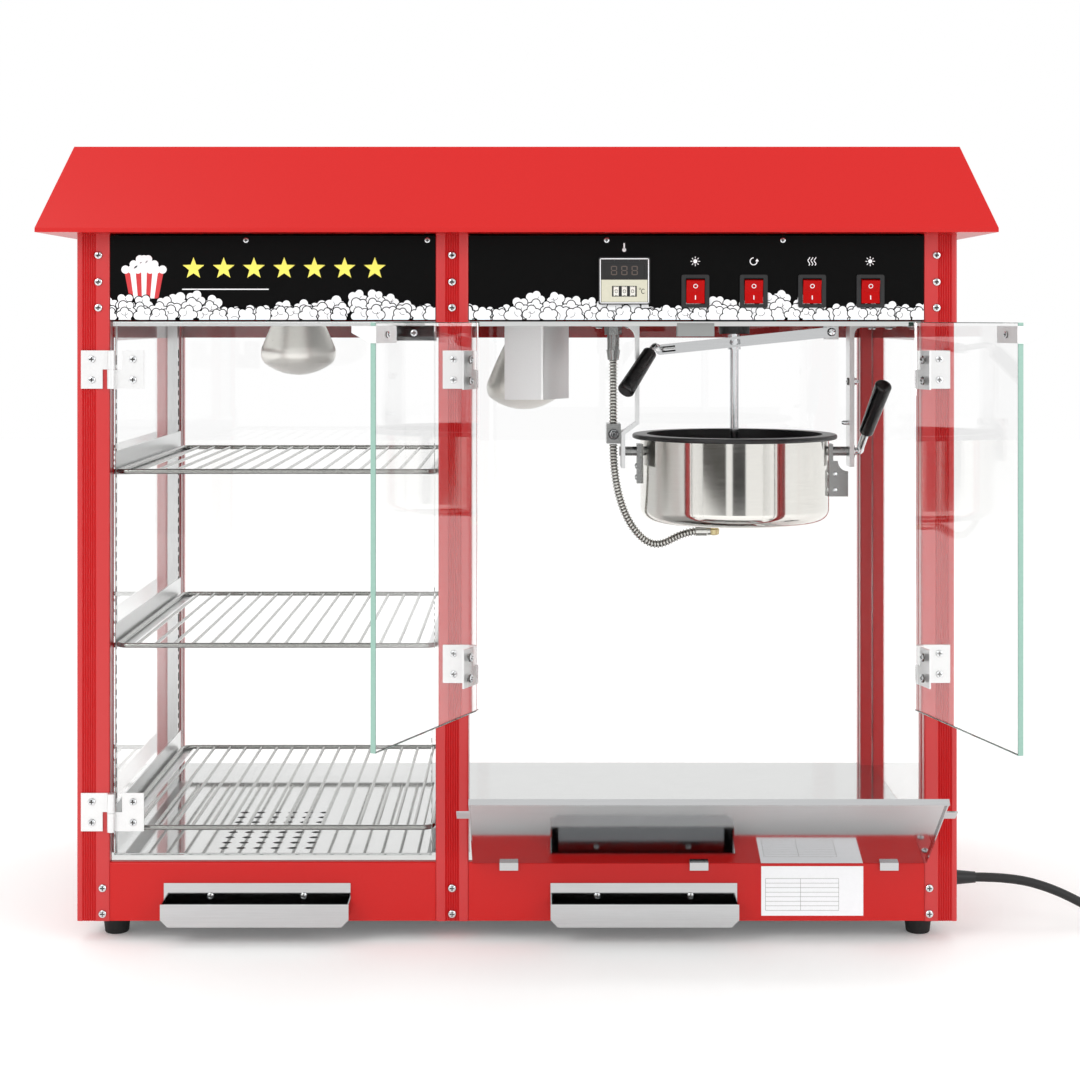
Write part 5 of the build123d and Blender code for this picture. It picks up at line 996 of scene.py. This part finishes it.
def spline_points(route, order=3):
    """Even points along a smooth spline whose control points are a route, in metres."""
    curve = bpy.data.curves.new("route", "CURVE")
    curve.dimensions = "3D"
    curve.resolution_u = 24
    line = curve.splines.new("NURBS")
    line.points.add(len(route) - 1)
    for point, place in zip(line.points, route):
        point.co = (*(Vector(place) * MM), 1)
    line.order_u = order
    line.use_endpoint_u = True
    holder = bpy.data.objects.new("route", curve)
    scene.collection.objects.link(holder)
    bpy.context.view_layer.update()
    mesh = bpy.data.meshes.new_from_object(holder)
    points = [vertex.co.copy() for vertex in mesh.vertices]
    bpy.data.objects.remove(holder)
    bpy.data.meshes.remove(mesh)
    return points


def along_line(points, step):
    """Places and directions at even steps along a line of points."""
    places = []
    travelled, due = 0, 0
    for start, end in zip(points, points[1:]):
        length = (end - start).length
        while due <= travelled + length + 1e-9:
            share = (due - travelled) / length
            places.append((start.lerp(end, share), (end - start).normalized()))
            due += step
        travelled += length
    return places


def hose(name, route, body, node):
    """A ribbed tube along a route in the XZ plane, with painted shade in the root of each groove."""
    steps = along_line(spline_points(route), HOSE_PITCH * MM / 4)
    tube = bmesh.new()
    rows = []
    for i, (place, way) in enumerate(steps):
        side = Vector((0, 1, 0))
        up = way.cross(side).normalized()
        radius = (HOSE_CREST if i % 4 in (1, 2) else HOSE_ROOT) * MM
        row = []
        for k in range(HOSE_SIDES):
            angle = 2 * math.pi * k / HOSE_SIDES
            row.append(tube.verts.new(place + (side * math.cos(angle) + up * math.sin(angle)) * radius))
        rows.append(row)
    for i, (first, second) in enumerate(zip(rows, rows[1:])):
        for k in range(HOSE_SIDES):
            j = (k + 1) % HOSE_SIDES
            band = tube.faces.new((first[k], second[k], second[j], first[j]))
            # Every fourth band, at the root of a groove, takes the dark second material: painted shade in
            # the groove
            band.material_index = 1 if i % 4 == 3 else 0
    tube.faces.new(rows[0])
    tube.faces.new(list(reversed(rows[-1])))
    bmesh.ops.recalc_face_normals(tube, faces=tube.faces)
    made = piece(name, tube, zinc, body, hot_steel_and_shade)
    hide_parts(node)


UPPER_ROUTE = [(HOSE_X, 0, upper_high.z), (HOSE_X, 0, 516), (HOSE_X, 0, upper_low.z)]
hose("upper_hose", UPPER_ROUTE, "cabinet", "upper_conduit")
LOWER_ROUTE = [(HOSE_X, 0, 469.5), (HOSE_X, 0, 443), (HOSE_X + 9, 0, 400), (HOSE_X + 27, 0, 370),
               (HOSE_X + 48, 0, 359), (177, 0, 375), (191, 0, 376)]
hose("lower_hose", LOWER_ROUTE, "kettle", "lower_conduit")

# %% Fittings at the end of the lower hose
SLEEVE = [(0, 4.6), (0.6, 5.3), (12, 5.3), (13, 4.6), (16, 4.6)]
ELBOW = [(0, 4), (1, 5.6), (6, 6), (7, 5), (10, 5), (10.6, 6.2), (15.6, 6.2), (16, 5.6)]
sleeve = bmesh.new()
add_turned(sleeve, SLEEVE, (189, 0, 376), (1, 0, 0))
piece("hose_sleeve", sleeve, zinc, "kettle")
elbow = bmesh.new()
add_turned(elbow, ELBOW, (209, 0, 372), (0, 0, 1))
piece("hose_elbow", elbow, brass, "kettle")
print("hoses done")

# %% [markdown]
# ## Mains cord
# One spline from the gland over the ground into a coil of two layers, tied, and out to the plug.
# The spline runs a little inside its points, so the coil's points stand a little further out.

# %% Cord
CORD_RADIUS = 4.5
GLAND_TIP = Vector((454.2, -168, 50))
COIL_RADIUS, COIL_STEP, LAYER_QUARTERS = 59, 9.7, 7
COIL_MIDDLE = Vector((654.2, -109, 0))
COIL_QUARTERS = 2 * LAYER_QUARTERS + 3
POINTS_PER_QUARTER = 4
SPLINE_SHRINK = 0.981
PLUG_HEIGHT = 18.2
COIL_TAIL = 46.7
LAYER_RISE = 2 * CORD_RADIUS + 0.6
LEAD = ((0, 0, 0), (36, 0, 0), (78, -2, -11), (120, -2, -33), (162, 0, -45.5), (188, 0, -45.5))
route = [GLAND_TIP + Vector(step) for step in LEAD]


def ease(share):
    """Smooth step from 0 to 1."""
    held = min(max(share, 0), 1)
    return held * held * (3 - 2 * held)


for step in range(1, COIL_QUARTERS * POINTS_PER_QUARTER + 1):
    quarter = step / POINTS_PER_QUARTER
    inward = min(quarter, LAYER_QUARTERS + 1)
    outward = max(quarter - LAYER_QUARTERS - 1, 0)
    radius = (COIL_RADIUS + (outward - inward) * COIL_STEP / 4) / SPLINE_SHRINK
    rise = LAYER_RISE * ease((quarter - LAYER_QUARTERS) / 2)
    rise += (PLUG_HEIGHT - CORD_RADIUS - LAYER_RISE) * ease((quarter - COIL_QUARTERS + 3) / 3)
    turn = math.radians(90 * quarter - 90)
    place = Vector((radius * math.cos(turn), radius * math.sin(turn), CORD_RADIUS + rise))
    route.append(COIL_MIDDLE + place)
end = route[-1]
route += [end + Vector((0, COIL_TAIL / 2, 0)), end + Vector((0, COIL_TAIL, 0))]

cord_curve = bpy.data.curves.new("mains_cord_line", "CURVE")
cord_curve.dimensions = "3D"
cord_curve.bevel_depth = CORD_RADIUS * MM
cord_curve.bevel_resolution = 5
cord_curve.resolution_u = 8
cord_curve.use_fill_caps = True
cord_line = cord_curve.splines.new("NURBS")
cord_line.points.add(len(route) - 1)
for point, place in zip(cord_line.points, route):
    point.co = (*(place * MM), 1)
cord_line.order_u = 3
cord_line.use_endpoint_u = True
cord = bpy.data.objects.new("mains_cord_line", cord_curve)
cord.data.materials.append(cord_sheath)
scene.collection.objects.link(cord)
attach(cord, "cabinet")
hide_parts("mains_cord", "cord_coil")

# %% Tie round the coil
TIE_WIDTH, TIE_SIDES, TIE_SHEET = 9, 28, 0.8
TIE_HALF_X, TIE_HALF_Z = 16, 9.4
tie_middle = COIL_MIDDLE + Vector((-COIL_RADIUS + 12.5, 0, 2 * CORD_RADIUS + 0.4))
tie = bmesh.new()


def squared(value):
    """A sine or cosine pushed out, so that a circle becomes a rounded square."""
    return math.copysign(math.sqrt(abs(value)), value)


rows = []
for y in (-TIE_WIDTH / 2, TIE_WIDTH / 2):
    row = []
    for k in range(TIE_SIDES):
        angle = 2 * math.pi * k / TIE_SIDES
        spot = Vector((TIE_HALF_X * squared(math.cos(angle)), y, TIE_HALF_Z * squared(math.sin(angle))))
        row.append(tie.verts.new((tie_middle + spot) * MM))
    rows.append(row)
for k in range(TIE_SIDES):
    j = (k + 1) % TIE_SIDES
    tie.faces.new((rows[0][k], rows[0][j], rows[1][j], rows[1][k]))
tie_band = piece("cord_tie", tie, rubber, "cabinet")
thick = tie_band.modifiers.new("thickness", "SOLIDIFY")
thick.thickness = TIE_SHEET * MM
thick.offset = 1

print("cord points:", len(route))

# %% [markdown]
# ## Finish
# The box of the dressed model is kept next to the box of the solids.

# %% Finish
corners = {"cad": cad_box, "visual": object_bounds()}
print("pieces done")
